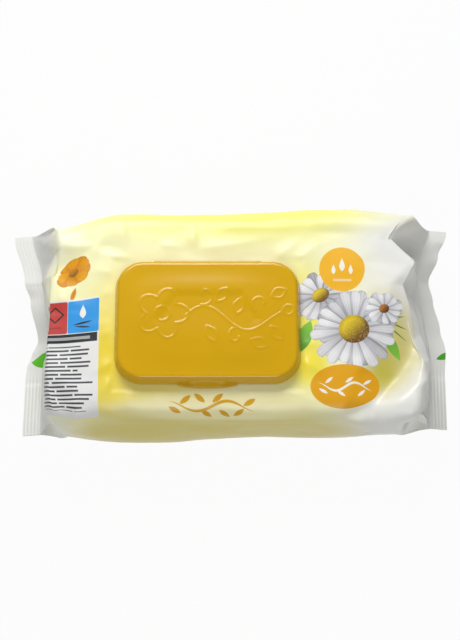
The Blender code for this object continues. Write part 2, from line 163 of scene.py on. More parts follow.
@dataclass(frozen=True)
class Facets:
    """A patch of flat facets with crisp edges between them, as in film that has been crumpled.

    Args:
        points: Corners of the facets: place in millimetres and height over the smooth film. Those
            at the rim of the patch have no height.
    """

    points: tuple[tuple[float, float, float], ...]

    def lift(self, u: np.ndarray, v: np.ndarray) -> np.ndarray:
        """Height over flat film coordinates in millimetres."""
        out = np.zeros_like(u)
        flat = [Vector(point[:2]) for point in self.points]
        for corners in delaunay_2d_cdt(flat, [], [], 0, 1e-6)[2]:
            first, second, third = (self.points[corner] for corner in corners)
            a = (second[0] - first[0], second[1] - first[1])
            b = (third[0] - first[0], third[1] - first[1])
            area = a[0] * b[1] - a[1] * b[0]
            along_a = ((u - first[0]) * b[1] - (v - first[1]) * b[0]) / area
            along_b = (a[0] * (v - first[1]) - a[1] * (u - first[0])) / area
            inside = (along_a >= 0) & (along_b >= 0) & (along_a + along_b <= 1)
            height = first[2] + along_a * (second[2] - first[2]) + along_b * (third[2] - first[2])
            out = np.where(inside, height, out)
        return out


FOLDS: tuple[Swell | Crease | Facets, ...] = (
    Swell((-46.0, -90.0), (74.0, 34.0), 5.0),
    Swell((46.0, -88.0), (70.0, 34.0), 1.6),
    Swell((62.0, 76.0), (58.0, 40.0), 3.6),
    Swell((-24.0, 78.0), (56.0, 34.0), -1.6),
    Crease((-60.0, 56.0), (-56.0, 31.0), 1.7, (2.2, 9.0), 1.0, 0.5),
    Crease((-72.0, 40.0), (-57.0, 33.0), -1.0, (3.0, 6.0)),
    Crease((-19.5, 50.0), (-19.0, 33.0), 1.7, (1.6, 3.0), 0.0, 0.6),
    Crease((-21.0, 34.0), (36.0, 43.0), 1.2, (5.0, 2.2), -0.6, 0.25),
    Crease((-16.0, 46.5), (52.0, 46.0), 0.9, (3.5, 3.0), 0.6, 0.4),
    Crease((-38.0, 37.0), (-22.0, 36.0), 0.8, (2.4, 2.0)),
    Crease((38.0, 45.0), (76.0, 43.5), -0.9, (3.0, 4.5), 0.0, 0.5),
    Crease((24.0, 28.0), (42.0, 43.0), 1.0, (2.2, 4.5), 0.8, 0.3),
    Crease((34.0, 24.0), (52.0, 40.0), 1.1, (2.4, 4.5), 1.4, 0.3),
    Crease((-52.0, 27.0), (-84.0, 44.0), 1.0, (5.0, 3.0), 1.5, 0.2),
    Crease((-60.0, 20.0), (-74.0, 26.0), 0.8, (2.0, 3.0), 0.0, 0.3),
    Crease((-60.0, 12.0), (-72.0, 8.0), 0.6, (2.0, 3.0), 0.0, 0.3),
    Crease((-57.0, -33.0), (-72.0, -52.0), 1.7, (3.5, 2.6), -0.8, 0.3),
    Crease((-59.0, -26.0), (-76.0, -35.0), 1.2, (2.4, 3.6), 0.6, 0.3),
    Crease((-60.0, -10.0), (-72.0, -14.0), 0.7, (2.4, 3.0), 0.0, 0.3),
    Crease((-49.0, -38.0), (-55.0, -56.0), 1.0, (3.0, 4.0), 0.0, 0.35),
    Crease((34.0, -25.0), (54.0, -37.0), 1.7, (3.4, 2.4), 0.5, 0.3),
    Crease((26.0, -36.0), (44.0, -54.0), 1.6, (3.6, 2.6), 0.6, 0.35),
    Crease((36.0, -17.0), (52.0, -19.0), 0.9, (2.6, 3.0), 0.0, 0.3),
    Crease((37.0, 2.0), (50.0, 6.0), 0.6, (2.4, 3.0), 0.0, 0.3),
    Crease((10.0, -40.0), (16.0, -57.0), 0.7, (4.0, 5.0), 0.0, 0.4),
    Crease((-34.0, -41.0), (-38.0, -56.0), 0.6, (4.0, 5.0), 0.0, 0.4),
    Facets((
        (66.0, 60.0, 0.0), (80.0, 78.0, 0.0), (68.0, 28.0, 0.0), (74.0, 8.0, 0.0),
        (80.0, -10.0, 0.0), (66.0, -34.0, 0.0), (58.0, -58.0, 0.0), (62.0, -86.0, 0.0),
        (134.0, 64.0, 0.0), (136.0, 20.0, 0.0), (136.0, -14.0, 0.0), (136.0, -50.0, 0.0),
        (132.0, -80.0, 0.0), (100.0, -94.0, 0.0),
        (85.0, 41.0, 0.3), (96.0, 28.0, -1.0), (98.0, 60.0, 0.2), (110.0, 46.0, -1.2),
        (86.0, 10.0, 0.6), (78.0, -14.0, 0.6), (103.0, 16.0, -5.0), (97.0, -14.0, -6.6),
        (87.0, -35.0, -7.0), (75.0, -53.0, -3.0), (110.0, -30.0, 1.5), (102.0, -36.0, 2.6),
        (90.0, -50.0, 3.2),
        (79.0, -65.0, 4.2), (99.0, -55.0, 4.6), (108.0, -56.0, 3.0), (90.0, -74.0, -4.0),
        (108.0, -68.0, -3.5), (118.0, 24.0, -2.0), (116.0, -8.0, -2.0),
    )),
    Facets((
        (-70.0, 62.0, 0.0), (-74.0, 40.0, 0.0), (-80.0, 20.0, 0.0), (-84.0, 0.0, 0.0),
        (-84.0, -20.0, 0.0), (-80.0, -44.0, 0.0), (-70.0, -64.0, 0.0), (-66.0, -90.0, 0.0),
        (-82.0, 72.0, 0.0), (-126.0, 64.0, 0.0), (-130.0, 30.0, 0.0), (-130.0, 0.0, 0.0),
        (-130.0, -34.0, 0.0), (-128.0, -70.0, 0.0), (-92.0, -92.0, 0.0),
        (-92.0, 56.0, -1.0), (-100.0, 60.0, -2.5), (-96.0, 28.0, -4.2), (-89.0, 12.0, 0.9),
        (-102.0, 44.0, 0.6), (-100.0, 8.0, -1.4), (-107.0, 24.0, 1.2), (-98.0, -12.0, -0.6),
        (-110.0, -8.0, -2.4), (-98.0, -34.0, 0.8), (-108.0, -30.0, -1.4), (-90.0, -50.0, -2.6),
        (-104.0, -54.0, 1.6), (-84.0, -62.0, 2.4), (-100.0, -68.0, 0.8),
    )),
)


class Graph:
    """The nodes of one material."""

    def __init__(self, name: str) -> None:
        """Starts a material with no nodes."""
        self.material = bpy.data.materials.new(name)
        self.material.use_nodes = True
        self.tree = self.material.node_tree
        self.tree.nodes.clear()

    def add(self, kind: str, inputs: Any = (), **settings: Any) -> Any:
        """Adds a node with its settings and links.

        Args:
            kind: The node's type, without the ShaderNode in front.
            inputs: Values, nodes or sockets, in a sequence for the inputs in order, or in a dict
                from an input's name.
            settings: Properties of the node, set before its inputs.

        Returns:
            The node.
        """
        node = self.tree.nodes.new("ShaderNode" + kind)
        for name, value in settings.items():
            setattr(node, name, value)
        sockets = [socket for socket in node.inputs if socket.enabled]
        pairs = inputs.items() if isinstance(inputs, dict) else enumerate(inputs)
        for name, value in pairs:
            socket = node.inputs[name] if isinstance(name, str) else sockets[name]
            if isinstance(value, bpy.types.Node):
                value = next(output for output in value.outputs if output.enabled)
            if isinstance(value, bpy.types.NodeSocket):
                self.tree.links.new(value, socket)
            elif value is not None:
                socket.default_value = value
        return node

    def finish(self, shader: Any) -> bpy.types.Material:
        """Links the shader to the material's output.

        Args:
            shader: The shader node.

        Returns:
            The material.
        """
        self.add("OutputMaterial", {"Surface": shader})
        return self.material


class Shape(Enum):
    """Shapes that the print is made of."""

    ELLIPSE = "ellipse"
    LEAF = "leaf"
    DROP = "drop"
    PANEL = "panel"
    SWASH = "swash"


@dataclass(frozen=True)
class Mark:
    """One printed field of colour, in millimetres on the flat film.

    Args:
        shape: The outline.
        centre: Place along the pack and across it.
        half: Half of its length and width.
        colour: sRGB hex.
        angle: Turn in degrees.
        shade: sRGB hex at its far end, or none for a plain field.
    """

    shape: Shape
    centre: tuple[float, float]
    half: tuple[float, float]
    colour: str
    angle: float = 0.0
    shade: str = ""


@dataclass(frozen=True)
class Inks:
    """sRGB hex colours of a blossom: petals and middle, each in the light and in the shade."""

    petal: str = "f3f3f4"
    petal_shade: str = "8f8f98"
    middle: str = "e4c61c"
    middle_shade: str = "6e4a10"
    dots: str = "efe09a"


@dataclass(frozen=True)
class Blossom:
    """A printed blossom with two layers of petals round a domed middle, in millimetres.

    Args:
        centre: Place along the pack and across it.
        radius: From the middle to the petals' tips.
        petals: Number of petals in each of its two layers.
        middle: Radius of the middle as a share of the whole.
        lean: Squeeze across the turned direction, as if it faced a little away.
        angle: Turn in degrees.
        tip: How blunt the petals' tips are.
        inks: Its colours.
    """

    centre: tuple[float, float]
    radius: float
    petals: int
    middle: float
    lean: float = 1.0
    angle: float = 0.0
    tip: float = 6.0
    inks: Inks = Inks()


@dataclass(frozen=True)
class Bars:
    """Rows of plain grey bars on the information panel, in millimetres on the flat film.

    Args:
        low: Lower left corner of the block of rows.
        high: Upper right corner.
        pitch: From one row to the next.
        colour: sRGB hex.
    """

    low: tuple[float, float]
    high: tuple[float, float]
    pitch: float
    colour: str


@dataclass(frozen=True)
class Tint:
    """A soft spot of the ground's colour, or of painted light or shade, in millimetres on the flat
    film.

    Args:
        centre: Place along the pack and across it.
        half: Half of its length and width.
        colour: sRGB hex.
        strength: Of the colour in its middle.
        core: Share of its radius with the full strength.
    """

    centre: tuple[float, float]
    half: tuple[float, float]
    colour: str
    strength: float
    core: float


@dataclass(frozen=True)
class PrintedFilm:
    """Polyethylene laminate, gravure printed: satin, with fine crinkles and soft broad glints."""

    white: str = "f1f1ec"
    roughness: float = 0.36
    crinkle_mm: float = 6.0
    edge_mm: float = 0.18
    ground_and_painted_light: tuple[Tint, ...] = (
        Tint((-18.0, 0.0), (114.0, 150.0), "f8f6c0", 1.0, 0.55),
        Tint((4.0, 62.0), (122.0, 32.0), "f5f27c", 0.95, 0.3),
        Tint((-44.0, -16.0), (54.0, 56.0), "f4e67c", 0.95, 0.35),
        Tint((-66.0, -28.0), (17.0, 38.0), "eed634", 0.95, 0.1),
        Tint((-62.0, -46.0), (20.0, 16.0), "efda54", 0.8, 0.1),
        Tint((-10.0, -80.0), (106.0, 40.0), "e0d06c", 0.95, 0.5),
        # painted light: a near-white spot that lightens the strip in front of the lid, where the
        # film's slope turns it into the shade
        Tint((-4.0, -52.0), (74.0, 12.0), "fcf4bc", 1.0, 0.4),
        Tint((36.0, -8.0), (28.0, 50.0), "f4ec62", 0.95, 0.2),
        Tint((43.0, -30.0), (17.0, 17.0), "f8e63c", 0.9, 0.1),
        # partly print, partly painted shade: these olive tints darken the valley of the fold on the
        # right end
        Tint((84.0, -16.0), (24.0, 42.0), "d6ca72", 0.95, 0.15),
        Tint((80.0, -34.0), (13.0, 17.0), "cfc338", 0.85, 0.0),
    )

    def material(self, prints: Sequence[Mark | Blossom | Bars]) -> bpy.types.Material:
        """Makes the film's material: lemon round the lid, fading to white at the ends, with painted
        light in front of the lid and painted shade on the right end.

        Args:
            prints: What is printed, painted in order.

        Returns:
            The material, which reads the piece's own flat film coordinates in millimetres.
        """
        graph = Graph("printed_polyethylene_film")
        flat = graph.add("UVMap", uv_map="film")
        paint = Paint(graph, flat, linear(self.white), self.edge_mm)
        painters = {
            Tint: paint.tint, Mark: paint.mark, Blossom: paint.blossom, Bars: paint.bars,
        }
        for item in (*self.ground_and_painted_light, *prints):
            painters[type(item)](item)
        crinkle = graph.add(
            "TexNoise", {"Vector": flat, "Scale": 1 / self.crinkle_mm, "Detail": 3.0}
        )
        bump = graph.add("Bump", {"Strength": 0.16, "Distance": 0.6 * MM, "Height": crinkle})
        shader = graph.add("BsdfPrincipled", {
            "Base Color": paint.colour, "Roughness": self.roughness, "IOR": 1.5, "Normal": bump,
        })
        return graph.finish(shader)


@dataclass
class Paint:
    """The film's colour while it is printed, one field of ink over the other.

    Args:
        graph: The material's nodes.
        flat: Flat film coordinates.
        colour: The colour so far.
        edge_mm: Width of the soft edge of a field.
        corner: Radius of a panel's corners, as a share of its shorter half.
        sway: Height of a swash's waves, as a share of its half width.
        stem: Thickness of a swash in its middle, as such a share.
        petal_lengths: Lengths of the shortest and the longest petal.
        petal_bend: How far a petal's tip bends aside, in petals.
        petal_fill: Over 2, there are gaps between the petals.
        petal_bulge: How full a petal's outline is.
        rays: How fine the rays along a petal are.
        ray_depth: How dark they are.
        lit_from: Direction in degrees from which a blossom's middle is in the shade.
        dots: Number of dots along the radius of a blossom's middle.
        bar_height: Half of a bar's height, as a share of the pitch.
        bar_gap_mm: Half of the gap in a row of bars.
    """

    graph: Graph
    flat: Any
    colour: Any
    edge_mm: float
    corner: float = 0.12
    sway: float = 0.6
    stem: float = 0.22
    petal_lengths: tuple[float, float] = (0.78, 1.0)
    petal_bend: float = 0.22
    petal_fill: float = 2.05
    petal_bulge: float = 2.6
    rays: float = 26.0
    ray_depth: float = 0.10
    lit_from: float = -45.0
    dots: float = 8.5
    bar_height: float = 0.27
    bar_gap_mm: float = 0.45

    def lay(self, cover: Any, ink: Any) -> None:
        """Lays an ink over the colour so far, as far as it covers it."""
        self.colour = self.graph.add(MIX, (cover, self.colour, ink), data_type="RGBA")

    def covered(self, inside: Any, reach: float) -> Any:
        """Cover of a field with a soft edge.

        Args:
            inside: How far inside the outline a place is, as a share of the reach.
            reach: That reach in millimetres.

        Returns:
            A factor from 0 outside to 1 inside.
        """
        sharp = reach / self.edge_mm
        return self.graph.add(MATH, (inside, sharp), operation="MULTIPLY", use_clamp=True)

    def local(
        self, centre: Sequence[float], half: Sequence[float], angle: float = 0.0
    ) -> Any:
        """Coordinates of one printed field, from -1 to 1 over its length and width.

        Args:
            centre: Its middle in millimetres.
            half: Its half sizes in millimetres.
            angle: Its turn in degrees.

        Returns:
            The vector.
        """
        place = {
            "Vector": self.flat, "Location": (*centre, 0.0), "Scale": (*half, 1.0),
            "Rotation": (0.0, 0.0, math.radians(angle)),
        }
        return self.graph.add("Mapping", place, vector_type="TEXTURE")

    def tint(self, tint: Tint) -> None:
        """Paints a soft spot of the ground, or of painted light or shade."""
        add = self.graph.add
        radius = add("VectorMath", (self.local(tint.centre, tint.half),), operation="LENGTH")
        spot = add(
            "MapRange", (radius.outputs["Value"], tint.core, 1.0, 1.0, 0.0),
            interpolation_type="SMOOTHERSTEP",
        )
        amount = add(MATH, (spot, tint.strength), operation="MULTIPLY")
        self.lay(amount, linear(tint.colour))

    def mark(self, mark: Mark) -> None:
        """Paints a field of colour."""
        add = self.graph.add
        local = self.local(mark.centre, mark.half, mark.angle)
        split = add("SeparateXYZ", (local,))
        along, across = split.outputs["X"], split.outputs["Y"]
        ink: Any = linear(mark.colour)
        if mark.shade:
            far = add("MapRange", (along, -1.0, 1.0, 0.0, 1.0))
            ink = add(MIX, (far, ink, linear(mark.shade)), data_type="RGBA")
        self.lay(self.covered(self.inside(mark, local, along, across), min(mark.half)), ink)

    def inside(self, mark: Mark, local: Any, along: Any, across: Any) -> Any:
        """How far inside a field's outline a place is.

        Args:
            mark: The field.
            local: Its coordinates.
            along: Their first value.
            across: Their second value.

        Returns:
            A value over 0 inside and under 0 outside.
        """
        add = self.graph.add
        if mark.shape is Shape.ELLIPSE:
            radius = add("VectorMath", (local,), operation="LENGTH")
            return add(MATH, (1.0, radius.outputs["Value"]), operation="SUBTRACT")
        if mark.shape is Shape.PANEL:
            corner = self.corner * min(mark.half)
            edge = (mark.half[0] - corner, mark.half[1] - corner, 1.0)
            over = add("VectorMath", (local,), operation="ABSOLUTE")
            over = add("VectorMath", (over, (*mark.half, 1.0)), operation="MULTIPLY")
            over = add("VectorMath", (over, edge), operation="SUBTRACT")
            over = add("VectorMath", (over, (0.0, 0.0, 0.0)), operation="MAXIMUM")
            far = add("VectorMath", (over,), operation="LENGTH")
            left = add(MATH, (corner, far.outputs["Value"]), operation="SUBTRACT")
            return add(MATH, (left, min(mark.half)), operation="DIVIDE")
        width = add(MATH, (along, along), operation="MULTIPLY")
        width = add(MATH, (1.0, width), operation="SUBTRACT")
        if mark.shape is Shape.SWASH:
            wave = add(MATH, (along, 1.5 * math.pi), operation="MULTIPLY")
            wave = add(MATH, (wave,), operation="SINE")
            wave = add(MATH, (wave, self.sway), operation="MULTIPLY")
            across = add(MATH, (across, wave), operation="SUBTRACT")
            width = add(MATH, (width, self.stem), operation="MULTIPLY")
        if mark.shape is Shape.DROP:
            lean = add(MATH, (along, -0.5, 0.62), operation="MULTIPLY_ADD")
            lean = add(MATH, (lean, 0.0), operation="MAXIMUM")
            width = add(MATH, (width, lean), operation="MULTIPLY")
        wide = add(MATH, (across,), operation="ABSOLUTE")
        return add(MATH, (width, wide), operation="SUBTRACT")

    def blossom(self, blossom: Blossom) -> None:
        """Paints a blossom."""
        add = self.graph.add
        half = (blossom.radius, blossom.radius * blossom.lean)
        local = self.local(blossom.centre, half, blossom.angle)
        split = add("SeparateXYZ", (local,))
        radius = add("VectorMath", (local,), operation="LENGTH").outputs["Value"]
        angle = add(MATH, (split.outputs["Y"], split.outputs["X"]), operation="ARCTAN2")
        turns = add(MATH, (angle, 1 / math.tau), operation="MULTIPLY")
        for phase, gloom in ((0.5, 0.36), (0.0, 0.0)):
            self.petals(blossom, radius, turns, phase, gloom)
        self.middle(blossom, local, radius)

    def petals(
        self, blossom: Blossom, radius: Any, turns: Any, phase: float, gloom: float
    ) -> None:
        """Paints one layer of a blossom's petals.

        Args:
            blossom: The blossom.
            radius: Distance from its centre.
            turns: Angle in turns.
            phase: Turn of the layer, in petals.
            gloom: How far the layer lies in the shade.
        """
        add = self.graph.add
        count = float(blossom.petals)
        place = add(MATH, (turns, count, phase), operation="MULTIPLY_ADD")
        index = add(MATH, (place,), operation="FLOOR")
        index = add(MATH, (index, count), operation="FLOORED_MODULO")
        seed = add(MATH, (index, phase * 7.0 + blossom.radius), operation="ADD")
        chance = add("TexWhiteNoise", {"W": seed}, noise_dimensions="1D").outputs["Color"]
        first, second, third = add("SeparateColor", (chance,)).outputs
        length = add("MapRange", (first, 0.0, 1.0, *self.petal_lengths))
        share = add(MATH, (radius, length), operation="DIVIDE")
        side = add(MATH, (place,), operation="FRACT")
        side = add(MATH, (side, 0.5), operation="SUBTRACT")
        bend = add("MapRange", (second, 0.0, 1.0, -self.petal_bend, self.petal_bend))
        side = add(MATH, (bend, share, side), operation="MULTIPLY_ADD")
        over = add(MATH, (side,), operation="ABSOLUTE")
        over = add(MATH, (over, self.petal_fill), operation="MULTIPLY")
        over = add(MATH, (over, self.petal_bulge), operation="POWER")
        tip = add(MATH, (share, blossom.tip), operation="POWER")
        inside = add(MATH, (1.0, over), operation="SUBTRACT")
        inside = add(MATH, (inside, tip), operation="SUBTRACT")
        dim = add(MATH, (side, self.rays), operation="MULTIPLY")
        dim = add(MATH, (dim,), operation="SINE")
        dim = add(MATH, (dim, self.ray_depth, gloom), operation="MULTIPLY_ADD")
        shades = (
            (side, 0.05, 0.5, 0.0, 0.55), (inside, 0.0, 0.30, 0.30, 0.0),
            (share, blossom.middle, 0.75, 0.42, 0.0), (third, 0.3, 1.0, 0.0, 0.40),
        )
        for shade in shades:
            dim = add(MATH, (dim, add("MapRange", shade)), operation="ADD", use_clamp=True)
        inks = linear(blossom.inks.petal), linear(blossom.inks.petal_shade)
        petal = add(MIX, (dim, *inks), data_type="RGBA")
        self.lay(self.covered(inside, blossom.radius / blossom.tip), petal)

    def middle(self, blossom: Blossom, local: Any, radius: Any) -> None:
        """Paints a blossom's domed middle with its dots.

        Args:
            blossom: The blossom.
            local: Its coordinates.
            radius: Distance from its centre.
        """
        add = self.graph.add
        share = add(MATH, (radius, blossom.middle), operation="DIVIDE")
        lean = math.radians(self.lit_from - blossom.angle)
        sun = (math.cos(lean), math.sin(lean), 0.0)
        side = add("VectorMath", (local, sun), operation="DOT_PRODUCT").outputs["Value"]
        side = add(MATH, (side, blossom.middle), operation="DIVIDE")
        dark = add("MapRange", (side, -0.60, 0.50, 0.0, 0.95))
        rim = add("MapRange", (share, 0.70, 1.0, 0.0, 0.35))
        dark = add(MATH, (dark, rim), operation="ADD", use_clamp=True)
        inks = linear(blossom.inks.middle), linear(blossom.inks.middle_shade)
        ink = add(MIX, (dark, *inks), data_type="RGBA")
        cells = {
            "Vector": local, "Scale": self.dots / blossom.middle, "Randomness": 0.55,
        }
        dots = add("TexVoronoi", cells, feature="F1").outputs["Distance"]
        spot = add("MapRange", (dots, 0.20, 0.34, 0.40, 0.0))
        ink = add(MIX, (spot, ink, linear(blossom.inks.dots)), data_type="RGBA")
        inside = add(MATH, (1.0, share), operation="SUBTRACT")
        self.lay(self.covered(inside, blossom.radius * blossom.middle), ink)

    def bars(self, bars: Bars) -> None:
        """Paints rows of bars, each with a random start, end and gap."""
        add = self.graph.add
        split = add("SeparateXYZ", (self.flat,))
        along, across = split.outputs["X"], split.outputs["Y"]
        row = add(MATH, (across, 1 / bars.pitch), operation="MULTIPLY")
        level = add(MATH, (row,), operation="FRACT")
        level = add(MATH, (level, 0.5), operation="SUBTRACT")
        level = add(MATH, (level,), operation="ABSOLUTE")
        inside = add(MATH, (self.bar_height, level), operation="SUBTRACT")
        cover = self.covered(inside, bars.pitch)
        row = add(MATH, (row,), operation="FLOOR")
        chance = add("TexWhiteNoise", {"W": row}, noise_dimensions="1D").outputs["Color"]
        (low, bottom), (high, top) = bars.low, bars.high
        ranges = ((low, low + 5.0), (high - 9.0, high), (low + 7.0, high - 10.0))
        left, right, gap = (
            add("MapRange", (part, 0.0, 1.0, *ends))
            for part, ends in zip(add("SeparateColor", (chance,)).outputs, ranges)
        )
        near = add(MATH, (along, gap), operation="SUBTRACT")
        near = add(MATH, (near,), operation="ABSOLUTE")
        limits = (
            (along, left), (right, along), (near, self.bar_gap_mm), (across, bottom),
            (top, across),
        )
        for first, other in limits:
            over = self.covered(add(MATH, (first, other), operation="SUBTRACT"), 1.0)
            cover = add(MATH, (cover, over), operation="MULTIPLY")
        self.lay(cover, linear(bars.colour))


@dataclass(frozen=True)
class MouldedPlastic:
    """Injection-moulded polypropylene: satin skin with a very fine spark-eroded grain.

    Args:
        name: Name of the material.
        colour: sRGB hex.
        roughness: Of the skin.
        grain_mm: Size of the grain, drawn coarser than the real 0.1 mm so that it shows.
        deeper: Shares of red, green and blue that are left in the deeper clouds of the colour.
    """

    name: str
    colour: str
    roughness: float = 0.20
    grain_mm: float = 0.5
    deeper: tuple[float, float, float, float] = (0.78, 0.70, 0.6, 1.0)

    def material(self) -> bpy.types.Material:
        """Makes the material.

        Returns:
            The material, on object coordinates.
        """
        graph = Graph(self.name)
        place = graph.add("TexCoord").outputs["Object"]
        grain = graph.add("TexNoise", {"Vector": place, "Scale": 1 / (self.grain_mm * MM)})
        cloud = graph.add("TexNoise", {"Vector": place, "Scale": 45.0, "Detail": 2.0})
        tint = graph.add("MapRange", (cloud, 0.35, 0.65, 0.0, 0.10))
        plain = linear(self.colour)
        deeper = tuple(part * share for part, share in zip(plain, self.deeper))
        colour = graph.add(MIX, (tint, plain, deeper), data_type="RGBA")
        ends = (self.roughness - 0.04, self.roughness + 0.05)
        rough = graph.add("MapRange", (grain, 0.3, 0.7, *ends))
        bump = graph.add("Bump", {"Strength": 0.10, "Distance": 0.05 * MM, "Height": grain})
        shader = graph.add("BsdfPrincipled", {
            "Base Color": colour, "Roughness": rough, "IOR": 1.49, "Normal": bump,
        })
        return graph.finish(shader)


@dataclass(frozen=True)
class LabelFilm:
    """White self-adhesive polypropylene label: matt face with a printed wave along its middle.

    Args:
        face: sRGB hex of the label.
        ink: sRGB hex of the wave.
        waves: How close its waves are.
        height: Of its waves, as a share of half of the label's width.
    """

    face: str = "f3f3ee"
    ink: str = "e7c24a"
    waves: float = 14.0
    height: float = 0.12

    def material(self, centre: Sequence[float], half: Sequence[float]) -> bpy.types.Material:
        """Makes the material.

        Args:
            centre: Middle of the label.
            half: Half of its length and width.

        Returns:
            The material, on object coordinates.
        """
        graph = Graph("peel_label_film")
        place = graph.add("TexCoord").outputs["Object"]
        onto = {"Vector": place, "Location": (*centre, 0.0), "Scale": (*half, 1.0)}
        local = graph.add("Mapping", onto, vector_type="TEXTURE")
        split = graph.add("SeparateXYZ", (local,))
        wave = graph.add(MATH, (split.outputs["X"], self.waves), operation="MULTIPLY")
        wave = graph.add(MATH, (wave,), operation="SINE")
        wave = graph.add(MATH, (wave, self.height), operation="MULTIPLY")
        off = graph.add(MATH, (split.outputs["Y"], wave), operation="SUBTRACT")
        off = graph.add(MATH, (off,), operation="ABSOLUTE")
        band = graph.add("MapRange", (off, 0.10, 0.13, 1.0, 0.0))
        colour = graph.add(MIX, (band, linear(self.face), linear(self.ink)), data_type="RGBA")
        fibre = graph.add("TexNoise", {"Vector": place, "Scale": 900.0})
        bump = graph.add("Bump", {"Strength": 0.12, "Distance": 0.05 * MM, "Height": fibre})
        shader = graph.add("BsdfPrincipled", {
            "Base Color": colour, "Roughness": 0.45, "IOR": 1.49, "Normal": bump,
        })
        return graph.finish(shader)


def make_object(name: str, bm: bmesh.types.BMesh, material: bpy.types.Material) -> Any:
    """Makes a finished piece of a bmesh.

    Args:
        name: Name of the piece.
        bm: Its mesh, which is freed.
        material: Its finish.

    Returns:
        The object, at the origin.
    """
    mesh = bpy.data.meshes.new(name)
    bm.to_mesh(mesh)
    bm.free()
    mesh.shade_smooth()
    mesh.set_sharp_from_angle(angle=SMOOTH_EDGE)
    mesh.materials.append(material)
    obj = bpy.data.objects.new(name, mesh)
    bpy.context.scene.collection.objects.link(obj)
    log.info("%s: %d faces", name, len(mesh.polygons))
    return obj


def rounded_outline(corners: Sequence[Sequence[float]], radius: float, count: int) -> np.ndarray:
    """Samples a polygon with rounded corners at equal steps.

    Args:
        corners: Its corners, counted anticlockwise.
        radius: Radius of its corners.
        count: Number of points.

    Returns:
        Array of (count, 2), starting on the +X side.
    """
    path = []
    total = len(corners)
    for index in range(total):
        here = Vector(corners[index])
        before = (Vector(corners[index - 1]) - here).normalized()
        after = (Vector(corners[(index + 1) % total]) - here).normalized()
        half = before.angle(after) / 2
        centre = here + (before + after).normalized() * radius / math.sin(half)
        start = here + before * radius / math.tan(half) - centre
        sweep = math.pi - 2 * half
        for step in range(CORNER_STEPS + 1):
            turn = Matrix.Rotation(sweep * step / CORNER_STEPS, 2)
            path.append(centre + turn @ start)
    points = np.asarray([(point.x, point.y) for point in path])
    middle = points.mean(axis=0)
    angles = np.arctan2(points[:, 1] - middle[1], points[:, 0] - middle[0])
    first = int(np.argmin(np.where(angles < 0, math.tau, angles)))
    points = np.roll(points, -first, axis=0)
    before, after = points[-1], points[0]
    start = mixed(before, after, (middle[1] - before[1]) / (after[1] - before[1]))
    closed = np.vstack([start, points, start])
    steps = np.r_[0.0, np.cumsum(np.linalg.norm(np.diff(closed, axis=0), axis=1))]
    wanted = np.linspace(0.0, steps[-1], count, endpoint=False)
    return np.stack([np.interp(wanted, steps, closed[:, axis]) for axis in (0, 1)], axis=1)


def swept(loops: Sequence[np.ndarray], ring: bool) -> bmesh.types.BMesh:
    """Sweeps a circle's edge through loops of points.

    Args:
        loops: Arrays of (count, 3).
        ring: Whether the last loop joins the first one. Otherwise both ends are filled.

    Returns:
        The closed mesh, facing out.
    """
    bm = bmesh.new()
    made = bmesh.ops.create_circle(bm, segments=len(loops[0]), radius=1.0)
    row = list(made["verts"])
    for vert, place in zip(row, loops[0]):
        vert.co = place
    edges = list(bm.edges)
    for loop in loops[1:]:
        out = bmesh.ops.extrude_edge_only(bm, edges=edges)["geom"]
        fresh = {item for item in out if isinstance(item, bmesh.types.BMVert)}
        edges = [item for item in out if isinstance(item, bmesh.types.BMEdge)]
        edges = [edge for edge in edges if edge.verts[0] in fresh and edge.verts[1] in fresh]
        row = [next(e.other_vert(v) for e in v.link_edges if e.other_vert(v) in fresh) for v in row]
        for vert, place in zip(row, loop):
            vert.co = place
    rims = [edge for edge in bm.edges if edge.is_boundary]
    if ring:
        bmesh.ops.bridge_loops(bm, edges=rims)
    else:
        bmesh.ops.holes_fill(bm, edges=rims, sides=0)
    bmesh.ops.recalc_face_normals(bm, faces=bm.faces)
    return bm


def joined(first: bmesh.types.BMesh, other: bmesh.types.BMesh) -> bmesh.types.BMesh:
    """Adds one bmesh to another and frees it."""
    holder = bpy.data.meshes.new("holder")
    other.to_mesh(holder)
    other.free()
    first.from_mesh(holder)
    bpy.data.meshes.remove(holder)
    return first


def rounded_box(low: Sequence[float], high: Sequence[float], radius: float) -> bmesh.types.BMesh:
    """A box with rounded edges between two corners."""
    bm = bmesh.new()
    size = Vector(high) - Vector(low)
    place = Matrix.Translation((Vector(high) + Vector(low)) / 2)
    bmesh.ops.create_cube(bm, size=1.0, matrix=place @ Matrix.Diagonal((*size, 1.0)))
    bmesh.ops.bevel(
        bm, geom=list(bm.edges), offset=radius, segments=3, profile=0.5, affect="EDGES",
        material=-1,
    )
    return bm


def hexagon(length: float, width: float, slant: float, grow: float) -> list[tuple[float, float]]:
    """Corners of a long six-sided outline round the origin, moved out by grow."""
    half = width / 2
    tip = length / 2 + grow * math.hypot(half, slant) / half
    shoulder = tip - slant * (half + grow) / half
    high = half + grow
    return [(tip, 0), (shoulder, high), (-shoulder, high), (-tip, 0), (-shoulder, -high),
            (shoulder, -high)]


